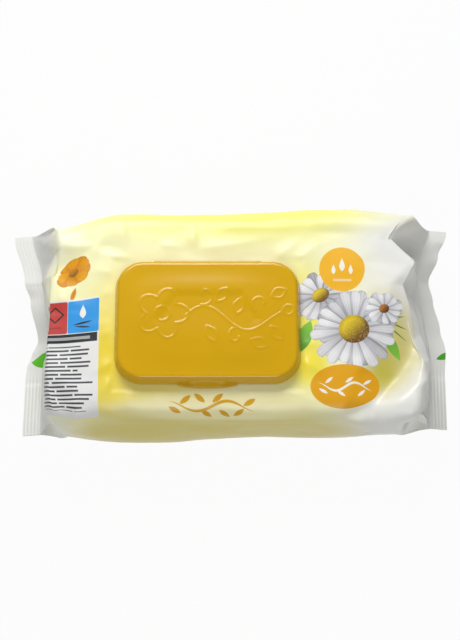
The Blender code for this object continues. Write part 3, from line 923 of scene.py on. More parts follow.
@dataclass
class FilmPack:
    """The sealed film pack, as one sheet laid round the block of wipes and crimped at its ends."""

    body_length: float = 0.179
    body_shift: float = 0.0015
    body_width: float = 0.116
    body_height: float = 0.060
    top_radius: float = 0.011
    bottom_radius: float = 0.010
    side_bulge: float = 0.0015
    tapers: tuple[tuple[float, float], tuple[float, float]] = ((0.007, 0.0), (0.002, 0.001))
    taper_reach: float = 0.030
    slopes: tuple[float, float] = (0.014, 0.018)
    top_edge_pull: float = 0.0012
    fold_width: float = 0.012
    tuck_depth: float = 0.021
    fin_length: float = 0.0102
    fin_width: float = 0.112
    fin_height: float = 0.028
    fin_shifts: tuple[float, float] = (-0.0045, -0.0011)
    fin_thickness: float = 0.0016
    fin_rest_cosine: float = 0.93
    inner_line_follows: float = 0.75
    centring: tuple[float, float] = (-0.0001, 0.0005)
    rib_pitch: float = 0.0021
    rib_depth: float = 0.00010
    seam_width: float = 0.013
    seam_step: float = 0.0003
    seam_edge: float = 0.008
    reach_places: tuple[tuple[float, ...], tuple[float, ...]] = (
        (1.0, 0.55, 0.35, -0.05, -0.20, -0.32, -0.45, -1.0),
        (1.0, 0.75, 0.50, 0.30, 0.0, -0.22, -0.50, -1.0),
    )
    reach_values_mm: tuple[tuple[float, ...], tuple[float, ...]] = (
        (11.0, 2.6, -1.0, -5.6, -2.6, -0.4, 0.2, 0.6),
        (4.0, -1.6, -7.0, -5.0, -1.8, 0.6, -0.2, -0.2),
    )
    edge_places: tuple[tuple[float, ...], tuple[float, ...]] = (
        (1.0, 0.66, 0.44, -0.20, -0.62, -0.85, -1.0),
        (1.0, 0.72, 0.50, 0.28, 0.05, -0.45, -0.85, -1.0),
    )
    edge_values_mm: tuple[tuple[float, ...], tuple[float, ...]] = (
        (3.0, 0.5, 7.0, 6.8, 5.8, 3.4, 1.0),
        (5.0, -6.0, 8.0, 1.5, 5.5, 9.5, 4.0, 2.0),
    )
    edge_ramp: float = 0.030
    base_columns: int = 16
    bottom_columns: int = 8
    side_columns: int = 26
    shoulder_columns: int = 12
    top_columns: int = 96
    closing: tuple[float, float] = (0.35, 0.65)
    tuck_start: float = 0.10
    section_turn: float = 0.42
    bulge_share: float = 0.3
    fin_cosines: tuple[float, float] = (0.3, 0.97)
    faint_ribs: float = 0.2
    thin_fin: float = 0.35
    tuck_edge: float = 0.50
    fin_rows: int = 74
    slope_rows: int = 46
    body_rows: int = 150

    def columns(self) -> tuple[np.ndarray, ...]:
        """The points round a section, from the seam underneath up the back and down the front.

        Returns:
            For each column: body coefficients (a, b, z) with y = a * half width + b, and end
            coefficients (top, bottom, tuck, fold, level) of the tucked end.
        """
        def steps(count: int) -> np.ndarray:
            return np.linspace(0.0, 1.0, count + 1)

        seam = self.seam_width / 2 / (self.body_width / 2 - self.bottom_radius)
        past = seam + self.seam_edge
        plain = np.r_[0.0, seam * 0.5, seam - self.seam_edge, past,
                      past + (1 - seam - self.seam_edge) * steps(self.base_columns)[1:]]
        rows: list[tuple[float, ...]] = []
        for side in (1, -1):
            part: list[tuple[float, ...]] = []
            for share in plain:
                level = 0.0 if share < seam else self.seam_step
                part.append((side * share, -side * share * self.bottom_radius, level,
                             0.0, side * share, 0.0, -side * share, -1.0))
            for share in steps(self.bottom_columns)[1:-1]:
                angle = (1 - share) * math.pi / 2
                shift = side * self.bottom_radius * (math.cos(angle) - 1)
                level = self.seam_step + (self.bottom_radius - self.seam_step) * (
                    1 - math.sin(angle))
                part.append((side, shift, level, 0.0, side, 0.0, -side * (1 - share), -1.0))
            middle = (self.body_height - self.top_radius + self.bottom_radius) / 2
            half = (self.body_height - self.top_radius - self.bottom_radius) / 2
            for share in 2 * steps(self.side_columns) - 1:
                bulge = side * self.side_bulge * (1 - share * share)
                top = side * (1 + share) / 2
                part.append((side, bulge, middle + share * half, top, side - top,
                             side * (1 - abs(share)), 0.0, share))
            for share in steps(self.shoulder_columns)[1:-1]:
                angle = (1 - share) * math.pi / 2
                shift = side * self.top_radius * (math.sin(angle) - 1)
                level = self.body_height - self.top_radius * (1 - math.cos(angle))
                part.append((side, shift, level, side, 0.0, 0.0, -side * share, 1.0))
            rows += part[::side]
            if side > 0:
                for share in 1 - 2 * steps(self.top_columns):
                    rows.append((share, -share * self.top_radius, self.body_height,
                                 share, 0.0, 0.0, -share, 1.0))
        return tuple(np.asarray(values) for values in zip(*rows))

    def reach(self, end: int, place: np.ndarray) -> np.ndarray:
        """How far a fin stands out past its straight stretch.

        Args:
            end: 0 for the left end and 1 for the right one.
            place: Place along the fin, from 1 at the back to -1 at the front.

        Returns:
            The distances in metres.
        """
        knots = np.asarray(self.reach_places[end])[::-1]
        values = np.asarray(self.reach_values_mm[end])[::-1] * MM
        index = np.clip(np.searchsorted(knots, place) - 1, 0, len(knots) - 2)
        share = eased((place - knots[index]) / (knots[index + 1] - knots[index]))
        return mixed(values[index], values[index + 1], share)

    def edge(self, end: int, place: np.ndarray, height: np.ndarray) -> np.ndarray:
        """How far the block's top edge stands out past its straight line.

        Args:
            end: 0 for the left end and 1 for the right one.
            place: Place across the pack, from 1 at the back to -1 at the front.
            height: Height of the film there.

        Returns:
            The distances in metres, which fade out towards the underside.
        """
        places = np.asarray(self.edge_places[end])[::-1]
        values = np.asarray(self.edge_values_mm[end])[::-1] * MM
        return np.interp(place, places, values) * eased(height / self.body_height)

    def surface(self) -> tuple[np.ndarray, np.ndarray]:
        """Works out the film's points.

        Returns:
            Places of (rows, columns, 3) and flat film coordinates of (rows, columns, 2).
        """
        a, b, z, top, bottom, tuck, fold, level = self.columns()
        ends = []
        for end, side in ((0, -1), (1, 1)):
            start = self.body_shift + side * self.body_length / 2
            half, body_middle = self.width_at(np.asarray([start]))
            slope = np.linspace(0.0, 1.0, self.slope_rows)[1:, None]
            opening = 1 - (self.closing[0] * slope + self.closing[1] * eased(slope))
            up = mixed(self.fin_thickness / 2, self.body_height - self.fin_height, opening)
            down = mixed(self.fin_thickness / 2, self.fin_height, opening)
            edge = mixed(half, self.fin_width / 2, slope)
            top_edge = edge - self.top_edge_pull * np.sin(np.pi * slope)
            deep = self.tuck_depth * (1 - opening)
            deep = deep * eased((1 - slope) / self.tuck_start)
            end_y = top * top_edge + bottom * edge - tuck * deep + fold * self.fold_width
            end_z = self.fin_height + np.where(level > 0, level * up, level * down)
            turn = eased(slope / self.section_turn)
            y = mixed(a * half + b, end_y, turn)
            height = mixed(z + 0 * slope, end_z, turn)
            follow = self.inner_line_follows * self.reach(end, 2 * y / self.fin_width)
            edge_y = np.clip((a * half + b) / (self.body_width / 2), -1.0, 1.0)
            out = self.edge(end, edge_y, z)
            run = mixed(out, self.slopes[end] + follow, slope)
            run += self.bulge_share * out * np.sin(np.pi * slope)
            x = start + side * run
            middle = mixed(body_middle, self.fin_shifts[end], slope)
            sloped = np.stack([x, y + middle, height], axis=2)

            run = np.linspace(0.0, self.fin_length, self.fin_rows)[1:, None]
            fin_y = end_y[-1][None, :] + 0 * run
            reach = self.reach(end, 2 * fin_y / self.fin_width)
            cosine = self.fin_rest_cosine + (1 - self.inner_line_follows) * reach / self.fin_length
            cosine = np.clip(cosine, *self.fin_cosines)
            wave = self.rib_depth * np.sin(run / self.rib_pitch * math.tau)
            wave = wave * eased(run / 0.0015) * eased((self.fin_length - run) / 0.001)
            front = eased(-2 * fin_y / self.fin_width / 0.1 - 4.0)
            wave = wave * mixed(self.faint_ribs, 1.0, front)
            droop = run * np.sqrt(1 - cosine * cosine)
            out = self.slopes[end] + self.inner_line_follows * reach + run * cosine
            thick = (end_z[-1][None, :] - self.fin_height) * self.layers(fin_y)
            fin = np.stack([
                start + side * out, fin_y + self.fin_shifts[end],
                self.fin_height + thick - droop + wave,
            ], axis=2)
            ends.append((sloped, fin))
        x = self.body_shift + self.body_length * np.linspace(-0.5, 0.5, self.body_rows)[:, None]
        half, middle = self.width_at(x)
        moved = x + 0 * a
        edge_y = np.clip((a * self.body_width / 2 + b) / (self.body_width / 2), -1.0, 1.0)
        for end, side in ((0, -1), (1, 1)):
            past = side * (x - self.body_shift) - self.body_length / 2
            ramp = np.clip(1 + past / self.edge_ramp, 0.0, 1.0) ** 2
            moved = moved + side * ramp * self.edge(end, edge_y, z)
        body = np.stack([moved, a * half + b + middle, z + 0 * x], axis=2)
        left, right = ends
        places = np.concatenate([left[1][::-1], left[0][::-1], body, right[0], right[1]])
        centre = len(a) // 2
        steps = np.linalg.norm(np.diff(places[:, centre], axis=0), axis=1)
        lengthwise = np.r_[0.0, np.cumsum(steps)]
        middle_row = len(left[1]) + len(left[0]) + self.body_rows // 2
        lengthwise += places[middle_row, centre, 0] - lengthwise[middle_row]
        section = places[middle_row]
        around = np.r_[0.0, np.cumsum(np.linalg.norm(np.diff(section, axis=0), axis=1))]
        around = around[centre] - around + section[centre, 1]
        flat = np.stack(np.broadcast_arrays(lengthwise[:, None], around[None, :]), axis=2)
        return places, flat

    def layers(self, across: np.ndarray) -> np.ndarray:
        """Thickness of a fin as a share: four layers over the tucks and two between them."""
        share = np.abs(2 * across / self.fin_width)
        return mixed(self.thin_fin, 1.0, eased((share - self.tuck_edge) / 0.012))

    def width_at(self, x: np.ndarray) -> tuple[np.ndarray, np.ndarray]:
        """Half of the width and the middle line at places along the pack."""
        left = eased(1 - (x - self.body_shift + self.body_length / 2) / self.taper_reach)
        right = eased(1 - (self.body_shift + self.body_length / 2 - x) / self.taper_reach)
        back = self.body_width / 2 - self.tapers[0][0] * left - self.tapers[1][0] * right
        front = -self.body_width / 2 + self.tapers[0][1] * left + self.tapers[1][1] * right
        return (back - front) / 2, (back + front) / 2

    def creased(self, places: np.ndarray, flat: np.ndarray) -> np.ndarray:
        """Adds the film's dents, folds and crinkles.

        Args:
            places: The film's points.
            flat: Its flat coordinates.

        Returns:
            The moved points.
        """
        rows = np.gradient(places, axis=0)
        around = np.gradient(places, axis=1)
        normals = np.cross(around, rows)
        normals /= np.linalg.norm(normals, axis=2, keepdims=True) + 1e-12
        u, v = flat[..., 0], flat[..., 1]
        lift = self.crinkles(flat, u, v)
        return places + normals * lift[..., None]

    def crinkles(self, flat: np.ndarray, u: np.ndarray, v: np.ndarray) -> np.ndarray:
        """Height of the folds and crinkles over the smooth film.

        Args:
            flat: Flat coordinates.
            u: Their first value.
            v: Their second value.

        Returns:
            Heights in metres.
        """
        half = self.body_length / 2
        past = np.abs(u - self.body_shift) - half
        on_end = eased((past + 0.020) / 0.030)
        on_fin = eased((past - 0.031) / 0.008)
        on_side = eased((np.abs(v) - 0.040) / 0.020)
        on_base = eased((np.abs(v) - 0.098) / 0.010)
        broad = wavering(flat, (42.0, 30.0), 3.1)
        sharp = np.abs(wavering(flat, (26.0, 13.0), 7.7))
        fine = np.abs(wavering(flat, (9.0, 6.0), 1.3))
        strength = 0.30 + 0.70 * np.maximum(on_end, 0.6 * on_side)
        lift = (0.9 * broad - 1.2 * sharp - 0.35 * fine) * strength
        for fold in FOLDS:
            lift += fold.lift(u / MM, v / MM)
        for _ in range(2):
            inner = lift[1:-1, 1:-1] * 4 + lift[2:, 1:-1] + lift[:-2, 1:-1]
            lift[1:-1, 1:-1] = (inner + lift[1:-1, 2:] + lift[1:-1, :-2]) / 8
        lift *= (1 - 0.92 * on_fin) * (1 - on_base)
        return lift * (1 - self.under_lid(u, v)) * MM

    def under_lid(self, u: np.ndarray, v: np.ndarray) -> np.ndarray:
        """1 where the film is glued flat under the lid's frame, easing to 0 outside."""
        low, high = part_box("lid")
        beyond = np.maximum.reduce([low[0] - u, u - high[0], low[1] - v, v - high[1]])
        return 1 - eased(beyond / 0.0035)

    def mesh(self) -> bmesh.types.BMesh:
        """Builds the film's mesh from a grid.

        Returns:
            The closed mesh with its flat coordinates in the UV layer named film.
        """
        places, flat = self.surface()
        places[..., 0] += self.centring[0]
        places[..., 1] += self.centring[1]
        places = self.creased(places, flat)
        rows, columns = places.shape[:2]
        bm = bmesh.new()
        bmesh.ops.create_grid(bm, x_segments=rows - 1, y_segments=columns - 1, size=1.0)
        bm.verts.ensure_lookup_table()
        order = sorted(range(rows * columns), key=lambda index: (
            round(bm.verts[index].co.x * (rows - 1)), round(bm.verts[index].co.y * (columns - 1))
        ))
        layer = bm.loops.layers.uv.new("film")
        points = places.reshape(-1, 3)
        film = flat.reshape(-1, 2) / MM
        for place, index in enumerate(order):
            vert = bm.verts[index]
            vert.co = points[place]
            for loop in vert.link_loops:
                loop[layer].uv = film[place]
        bmesh.ops.remove_doubles(bm, verts=bm.verts, dist=1e-6)
        rims = [edge for edge in bm.edges if edge.is_boundary]
        caps = bmesh.ops.holes_fill(bm, edges=rims, sides=0)["faces"]
        bmesh.ops.triangulate(bm, faces=caps)
        bmesh.ops.recalc_face_normals(bm, faces=bm.faces)
        return bm

    def dress(self) -> Any:
        """Builds the film pack and prints it.

        Returns:
            The object.
        """
        material = PrintedFilm().material(self.flowers() + self.badges() + self.panel())
        pack = make_object("film_pack", self.mesh(), material)
        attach(pack, "pack")
        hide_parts("pouch")
        return pack

    def flowers(self) -> list[Mark | Blossom | Bars]:
        """The blossoms and leaves in the right third, from the bottom layer up."""
        green, light = "3f8f1c", "8fd04a"
        leaves = [
            Mark(Shape.LEAF, (83.8, -16.0), (11.0, 3.1), green, -66.0, light),
            Mark(Shape.LEAF, (87.5, -2.5), (6.5, 0.5), "5f7f3c", 12.0),
            Mark(Shape.LEAF, (88.0, -6.5), (6.5, 0.5), "5f7f3c", -20.0),
            Mark(Shape.LEAF, (87.5, -10.5), (7.5, 0.5), "6f8a4a", -42.0),
            Mark(Shape.LEAF, (86.0, 1.0), (6.5, 0.4), "6f8a4a", 34.0),
            Mark(Shape.LEAF, (39.5, -14.0), (10.0, 4.0), green, 68.0, light),
            Mark(Shape.LEAF, (-127.5, -15.5), (9.0, 4.8), "5fbf2a", 4.0),
            Mark(Shape.LEAF, (141.5, -16.0), (6.0, 2.0), "4fae2a", 24.0),
        ]
        return leaves + [
            Blossom((48.5, 9.0), 18.5, 13, 0.27, 0.74, 32.0, 7.0),
            Blossom((65.8, -9.4), 24.2, 17, 0.335, 0.95, 12.0, 7.0),
            Blossom((82.2, 2.0), 11.8, 11, 0.25, 0.84, 25.0, 6.0,
                    Inks(middle="b9701c", middle_shade="5a2f10")),
        ]

    def badges(self) -> list[Mark | Blossom | Bars]:
        """The badges, the wave ornament and the small orange blossom."""
        orange, white = "f5b81f", "f8f6ea"
        marks: list[Mark | Blossom | Bars] = [
            Mark(Shape.ELLIPSE, (60.2, 23.4), (12.3, 12.3), orange),
            Mark(Shape.ELLIPSE, (60.7, -40.5), (18.4, 12.1), "e9a80f"),
        ]
        for shift, rise, size in ((-4.6, -0.8, 3.0), (0.0, 1.8, 4.0), (4.6, -0.8, 3.0)):
            marks.append(Mark(Shape.DROP, (60.2 + shift, 24.4 + rise), (size, size * 0.55),
                              white, 90.0))
        marks.append(Mark(Shape.PANEL, (60.2, 17.4), (5.0, 0.7), white))
        marks.append(Mark(Shape.SWASH, (60.7, -40.5), (15.0, 3.6), white))
        for along, rise, turn in ((-8.5, 3.4, 40.0), (-2.2, -3.6, -35.0), (2.2, 3.6, 35.0),
                                  (8.5, -3.4, -140.0), (-11.5, -2.4, 150.0), (11.5, 2.4, 30.0)):
            marks.append(Mark(Shape.LEAF, (60.7 + along, -40.5 + rise), (2.8, 0.9), white, turn))
        gilt = "dfa90f"
        marks.append(Mark(Shape.SWASH, (-9.0, -51.0), (23.5, 4.6), gilt))
        for along, rise, turn in ((-19.5, -2.0, 150.0), (-14.0, 3.6, 40.0), (-6.5, 4.4, 140.0),
                                  (-3.0, -4.4, -40.0), (3.0, 4.4, 40.0), (6.5, -4.4, -40.0),
                                  (14.0, -3.6, -140.0), (19.5, 2.0, 30.0)):
            marks.append(Mark(Shape.LEAF, (-9.0 + along, -51.0 + rise), (3.8, 1.5), gilt, turn))
        gold = Inks("eba60f", "cf8408", "c07a08", "8f5806", "f2d98c")
        marks.append(Blossom((-83.5, 26.0), 10.5, 5, 0.26, 0.94, 10.0, 5.0, gold))
        marks.append(Mark(Shape.LEAF, (-83.0, 12.6), (4.6, 1.3), "d98e0c", 74.0))
        return marks

    def panel(self) -> list[Mark | Blossom | Bars]:
        """The information panel near the left end: plain fields, simple shapes and bars."""
        red, blue, white, dark = "c6423d", "2f9be6", "f2f2ef", "2c3033"
        marks: list[Mark | Blossom | Bars] = [
            Mark(Shape.PANEL, (-88.3, -24.0), (19.5, 34.0), "ececea"),
            Mark(Shape.PANEL, (-77.3, -0.4), (8.4, 9.4), blue),
            Mark(Shape.PANEL, (-96.2, -0.4), (10.5, 9.4), red),
            Mark(Shape.PANEL, (-88.3, -12.6), (18.7, 2.6), dark),
            Mark(Shape.DROP, (-77.6, 2.6), (4.2, 2.5), white, 90.0),
            Mark(Shape.LEAF, (-77.6, -4.2), (5.6, 0.7), dark, 8.0),
            Mark(Shape.LEAF, (-77.6, -6.4), (4.6, 0.6), dark, -8.0),
            Mark(Shape.PANEL, (-92.4, 1.6), (3.6, 3.6), dark, 45.0),
            Mark(Shape.PANEL, (-92.4, 1.6), (2.8, 2.8), red, 45.0),
            Mark(Shape.PANEL, (-92.4, -6.0), (3.6, 0.5), dark),
            Mark(Shape.PANEL, (-86.0, -12.6), (12.5, 0.9), "d8d8d6"),
        ]
        return marks + [Bars((-104.0, -54.0), (-71.5, -17.0), 2.3, "4a4c50")]


@dataclass
class FlipLid:
    """The moulded flip lid."""

    corner: float = 0.0150
    wall: float = 0.0012
    draft: float = 0.0013
    top_round: float = 0.0022
    crown: float = 0.0010
    relief: tuple[float, float, float] = (0.060, 0.034, 0.011)
    relief_band: float = 0.0052
    relief_depth: float = 0.0007
    vine_height: float = 0.00016
    vine_reach: float = 0.0011
    lip_width: float = 0.032
    lip_reach: float = 0.0023
    lip_height: float = 0.0018
    ramp_width: float = 0.024
    ramp_narrowing: float = 0.3
    ramp_fade: float = 1.6
    crown_reach: float = 0.012
    hinge_width: float = 0.058
    hinge_recess: float = 0.0012
    recess_reach: float = 0.014
    recess_height: float = 0.0045
    hinge_gap: float = 0.00055
    vine_edge: float = 0.0008
    opening: tuple[float, float, float] = (0.060, 0.032, 0.011)
    opening_corner: float = 0.004
    rim_wall: float = 0.0010
    ring_wall: float = 0.0010
    ring_gap: float = 0.0008
    ring_clearance: float = 0.0009
    ring_round: float = 0.0002
    outer_step: float = 0.00036
    inner_step: float = 0.0015
    plastic: MouldedPlastic = field(
        default_factory=lambda: MouldedPlastic("yellow_polypropylene", "d8a800")
    )

    def __post_init__(self) -> None:
        """Reads the lid's place from the frame."""
        low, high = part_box("lid")
        self.low = low[2]
        self.high = high[2] - self.relief_depth
        self.half = ((high[0] - low[0]) / 2, (high[1] - low[1] - self.lip_reach) / 2)
        self.centre = ((high[0] + low[0]) / 2, high[1] - self.half[1])
        self.front = self.centre[1] - self.half[1]
        self.back = high[1]
        self.vine_tree = self.vine()

    def profile(self, inset: float) -> tuple[np.ndarray, np.ndarray]:
        """Steps of the skin from its bottom edge up and over the top's edge.

        Args:
            inset: 0 for the outer skin, or the wall's thickness for the inner one.

        Returns:
            Distances in from the outline and heights, one for each ring.
        """
        top = self.high - inset
        radius = max(self.top_round - inset, 0.0008)
        lip = self.low + self.lip_height
        rise = [self.low, self.low + 0.0002, lip - 0.0005, lip - 0.0002, lip - 0.0001, lip]
        rise += [lip + step * MM for step in (0.02, 0.04, 0.08, 0.25, 0.6)]
        rise += list(np.linspace(lip + 0.0011, top - radius, 7))
        heights = np.asarray(rise)
        height_share = (heights - self.low) / (top - radius - self.low)
        inward = inset + self.draft * height_share
        angles = np.linspace(0, math.pi / 2, 9)[1:]
        inward = np.r_[inward, inward[-1] + radius * (1 - np.cos(angles))]
        heights = np.r_[heights, top - radius + radius * np.sin(angles)]
        return inward, heights

    def skin(self, inset: float, step: float) -> bmesh.types.BMesh:
        """Builds one side of the shell from a grid whose rings follow the outline.

        Args:
            inset: 0 for the outer skin, or the wall's thickness for the inner one.
            step: Size of the grid's cells on the top.

        Returns:
            The open skin.
        """
        inward, heights = self.profile(inset)
        left = self.half[1] - inward[-1]
        extra = math.ceil(left / step)
        inward = np.r_[inward, inward[-1] + left * np.arange(1, extra + 1) / extra]
        heights = np.r_[heights, np.full(extra, heights[-1])]
        rings = len(inward) - 1
        longer = 2 * round((self.half[0] - self.half[1]) / (left / extra))
        bm = bmesh.new()
        bmesh.ops.create_grid(
            bm, x_segments=2 * rings + longer, y_segments=2 * rings, size=1.0
        )
        for vert in bm.verts:
            i = round((vert.co.x + 1) / 2 * (2 * rings + longer))
            j = round((vert.co.y + 1) / 2 * 2 * rings)
            k = min(i, 2 * rings + longer - i, j, 2 * rings - j)
            x, y = self.ring_place(i, j, k, 2 * rings + longer, 2 * rings, float(inward[k]))
            vert.co = self.shaped(x, y, float(heights[k]), float(inward[k]), inset)
        return bm

    def ring_place(
        self, i: int, j: int, k: int, wide: int, deep: int, inward: float
    ) -> tuple[float, float]:
        """Place of a grid point on the outline moved in.

        Args:
            i: Its column.
            j: Its row.
            k: Its ring, counted from the edge.
            wide: Number of columns less one.
            deep: Number of rows less one.
            inward: How far the outline is moved in.

        Returns:
            The place from the lid's centre.
        """
        half_x, half_y = self.half[0] - inward, self.half[1] - inward
        radius = max(self.corner - inward, 0.0)
        if j in (k, deep - k):
            sign = -1 if j == k else 1
            share = (2 * i - wide) / max(wide - 2 * k, 1)
            straight, out, turned = half_x - radius, half_y, False
        else:
            sign = -1 if i == k else 1
            share = (2 * j - deep) / max(deep - 2 * k, 1)
            straight, out, turned = half_y - radius, half_x, True
        run = abs(share) * (straight + radius * math.pi / 4)
        if run <= straight or radius == 0.0:
            along, reach = run, out
        else:
            angle = (run - straight) / radius
            along = straight + radius * math.sin(angle)
            reach = out - radius + radius * math.cos(angle)
        along = math.copysign(along, share)
        return (sign * reach, along) if turned else (along, sign * reach)

    def shaped(self, x: float, y: float, z: float, inward: float, inset: float) -> Vector:
        """Adds the lip, its ramp, hinge recess, crown and relief to a point of the skin.

        Args:
            x: Place from the lid's centre.
            y: Place from the lid's centre.
            z: Height.
            inward: How far in from the outline the point is.
            inset: 0 for the outer skin, or the wall's thickness for the inner one.

        Returns:
            The moved point.
        """
        top = self.high - inset
        lip = self.low + self.lip_height
        near = 1 - float(eased((inward - self.draft - inset) / self.recess_reach))
        if y < 0 and inset == 0:
            reach = self.lip_reach * math.sqrt(max(1 - (2 * x / self.lip_width) ** 2, 0.0))
            rise = max(z - lip, 0.0) / (self.high - self.top_round - lip)
            wide = self.ramp_width / 2 * (1 - self.ramp_narrowing * min(rise, 1.0))
            ramp = float(eased(1.5 - 1.5 * abs(x) / wide)) * max(1 - rise, 0.0) ** self.ramp_fade
            y -= reach * (1.0 if z <= lip - 0.00005 else ramp)
        elif y > 0:
            edge = float(eased((self.hinge_width / 2 + 0.0012 - abs(x)) / 0.0024))
            edge *= float(eased((self.low + self.recess_height - z) / 0.0020))
            y -= self.hinge_recess * edge * near
            if z < self.low + 0.0005:
                z += self.hinge_gap * edge * near
        if z >= top - 1e-6:
            ease = float(eased((inward - self.draft - self.top_round) / self.crown_reach))
            spread = (x / self.half[0]) ** 2 + (y / self.half[1]) ** 2
            z += (self.crown * ease * max(1 - spread, 0.0) + self.raised(x, y)) * (inset == 0)
        return Vector((self.centre[0] + x, self.centre[1] + y, z))

    def vine(self) -> KDTree:
        """Points along the strokes of the raised vine: a stem, its leaves and a blossom.

        Returns:
            The points from the lid's centre, ready to be searched.
        """
        strokes: list[tuple[float, float]] = []
        for step in range(260):
            share = step / 259
            x = -11.0 + 51.0 * share
            strokes.append((x, 7.5 * math.sin(share * 2.2 * math.pi + 0.3) * (1 - 0.3 * share)))
        for step in range(420):
            turn = math.tau * step / 420
            radius = 8.6 + 5.0 * abs(math.cos(2.5 * turn))
            strokes.append((-23.5 + radius * math.cos(turn), 3.0 + radius * math.sin(turn)))
            strokes.append((-23.5 + 3.8 * math.cos(turn), 3.0 + 3.8 * math.sin(turn)))
        for x, y, size, start, turns in ((-1.5, 13.0, 5.6, -1.9, 1.5), (15.0, -9.5, 5.0, 1.4, 1.5),
                                         (28.0, 8.5, 5.2, -2.2, -1.4)):
            for step in range(200):
                share = step / 199
                angle = start + turns * math.pi * share
                radius = size * (1 - 0.72 * share)
                strokes.append((x + radius * math.cos(angle), y + radius * math.sin(angle)))
        for x, y, length, turn in ((7.5, 13.0, 9.0, 52.0), (2.0, -8.0, 9.5, -62.0),
                                   (27.0, -13.0, 9.0, -22.0), (16.5, 7.0, 9.0, 74.0),
                                   (37.5, 14.0, 8.5, 28.0), (36.0, -7.5, 9.0, -48.0),
                                   (42.5, 5.0, 7.5, 18.0)):
            angle = math.radians(turn)
            for step in range(120):
                share = step / 119
                for side in (-1, 1):
                    along = (share - 0.5) * length
                    off = side * 2.6 * math.sin(math.pi * share)
                    strokes.append((x + along * math.cos(angle) - off * math.sin(angle),
                                    y + along * math.sin(angle) + off * math.cos(angle)))
        tree = KDTree(len(strokes))
        for index, (x, y) in enumerate(strokes):
            tree.insert((x * MM, y * MM, 0.0), index)
        tree.balance()
        return tree

    def raised(self, x: float, y: float) -> float:
        """Height of the vine over the lid's top, less the six-sided hollow, deepest at its back.

        Args:
            x: Place from the lid's centre.
            y: Place from the lid's centre.

        Returns:
            The height in metres.
        """
        length, width, slant = self.relief
        half = width / 2
        stretch = math.hypot(half, slant) / half
        tip = length / 2 - slant * abs(y) / half
        into = min(half - abs(y), (tip - abs(x)) / stretch)
        near = self.vine_tree.find((x, y, 0.0))[2]
        stroke = self.vine_height * float(eased((self.vine_reach - near) / self.vine_edge))
        fades = float(eased((y / half + 0.75) / 1.2))
        return stroke - self.relief_depth * float(eased(into / self.relief_band)) * fades

    def mesh(self) -> bmesh.types.BMesh:
        """Builds the lid: both skins, joined round the bottom edge, and the sealing ring."""
        outer = self.skin(0.0, self.outer_step)
        inner = self.skin(self.wall, self.inner_step)
        bmesh.ops.recalc_face_normals(outer, faces=outer.faces)
        lid = joined(outer, inner)
        rims = [edge for edge in lid.edges if edge.is_boundary]
        bmesh.ops.triangle_fill(lid, edges=rims, use_beauty=True, normal=(0.0, 0.0, -1.0))
        bmesh.ops.recalc_face_normals(lid, faces=lid.faces)
        half = self.hinge_width / 2 - 0.0003
        flap = rounded_box(
            (self.centre[0] - half, self.back - 0.0022, self.low + 0.0006),
            (self.centre[0] + half, self.back + 0.0003, self.low + 0.0010), 0.00012,
        )
        return joined(joined(lid, self.sealing_ring()), flap)

    def sealing_ring(self) -> bmesh.types.BMesh:
        """The ring under the lid that closes round the opening's rim."""
        ceiling = self.high - self.wall + self.ring_round
        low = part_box("lid_frame")[0][2] + FLANGE + self.ring_clearance
        near = self.rim_wall + self.ring_gap
        far, bend = near + self.ring_wall, self.ring_round
        steps = [(far, ceiling), (far, low + bend), (far - bend, low), (near + bend, low),
                 (near, low + bend), (near, ceiling)]
        return swept([self.hexagon_loop(out, z, 96) for out, z in steps], True)

    def hexagon_loop(self, out: float, z: float, count: int) -> np.ndarray:
        """A loop of some points round the dispensing opening, moved out, at a height."""
        points = rounded_outline(hexagon(*self.opening, out), self.opening_corner, count)
        points = points + np.asarray(self.centre)
        return np.column_stack([points, np.full(count, z)])

    def dress(self) -> Any:
        """Builds the lid.

        Returns:
            The object.
        """
        lid = make_object("flip_lid", self.mesh(), self.plastic.material())
        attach(lid, "lid")
        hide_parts("lid")
        return lid


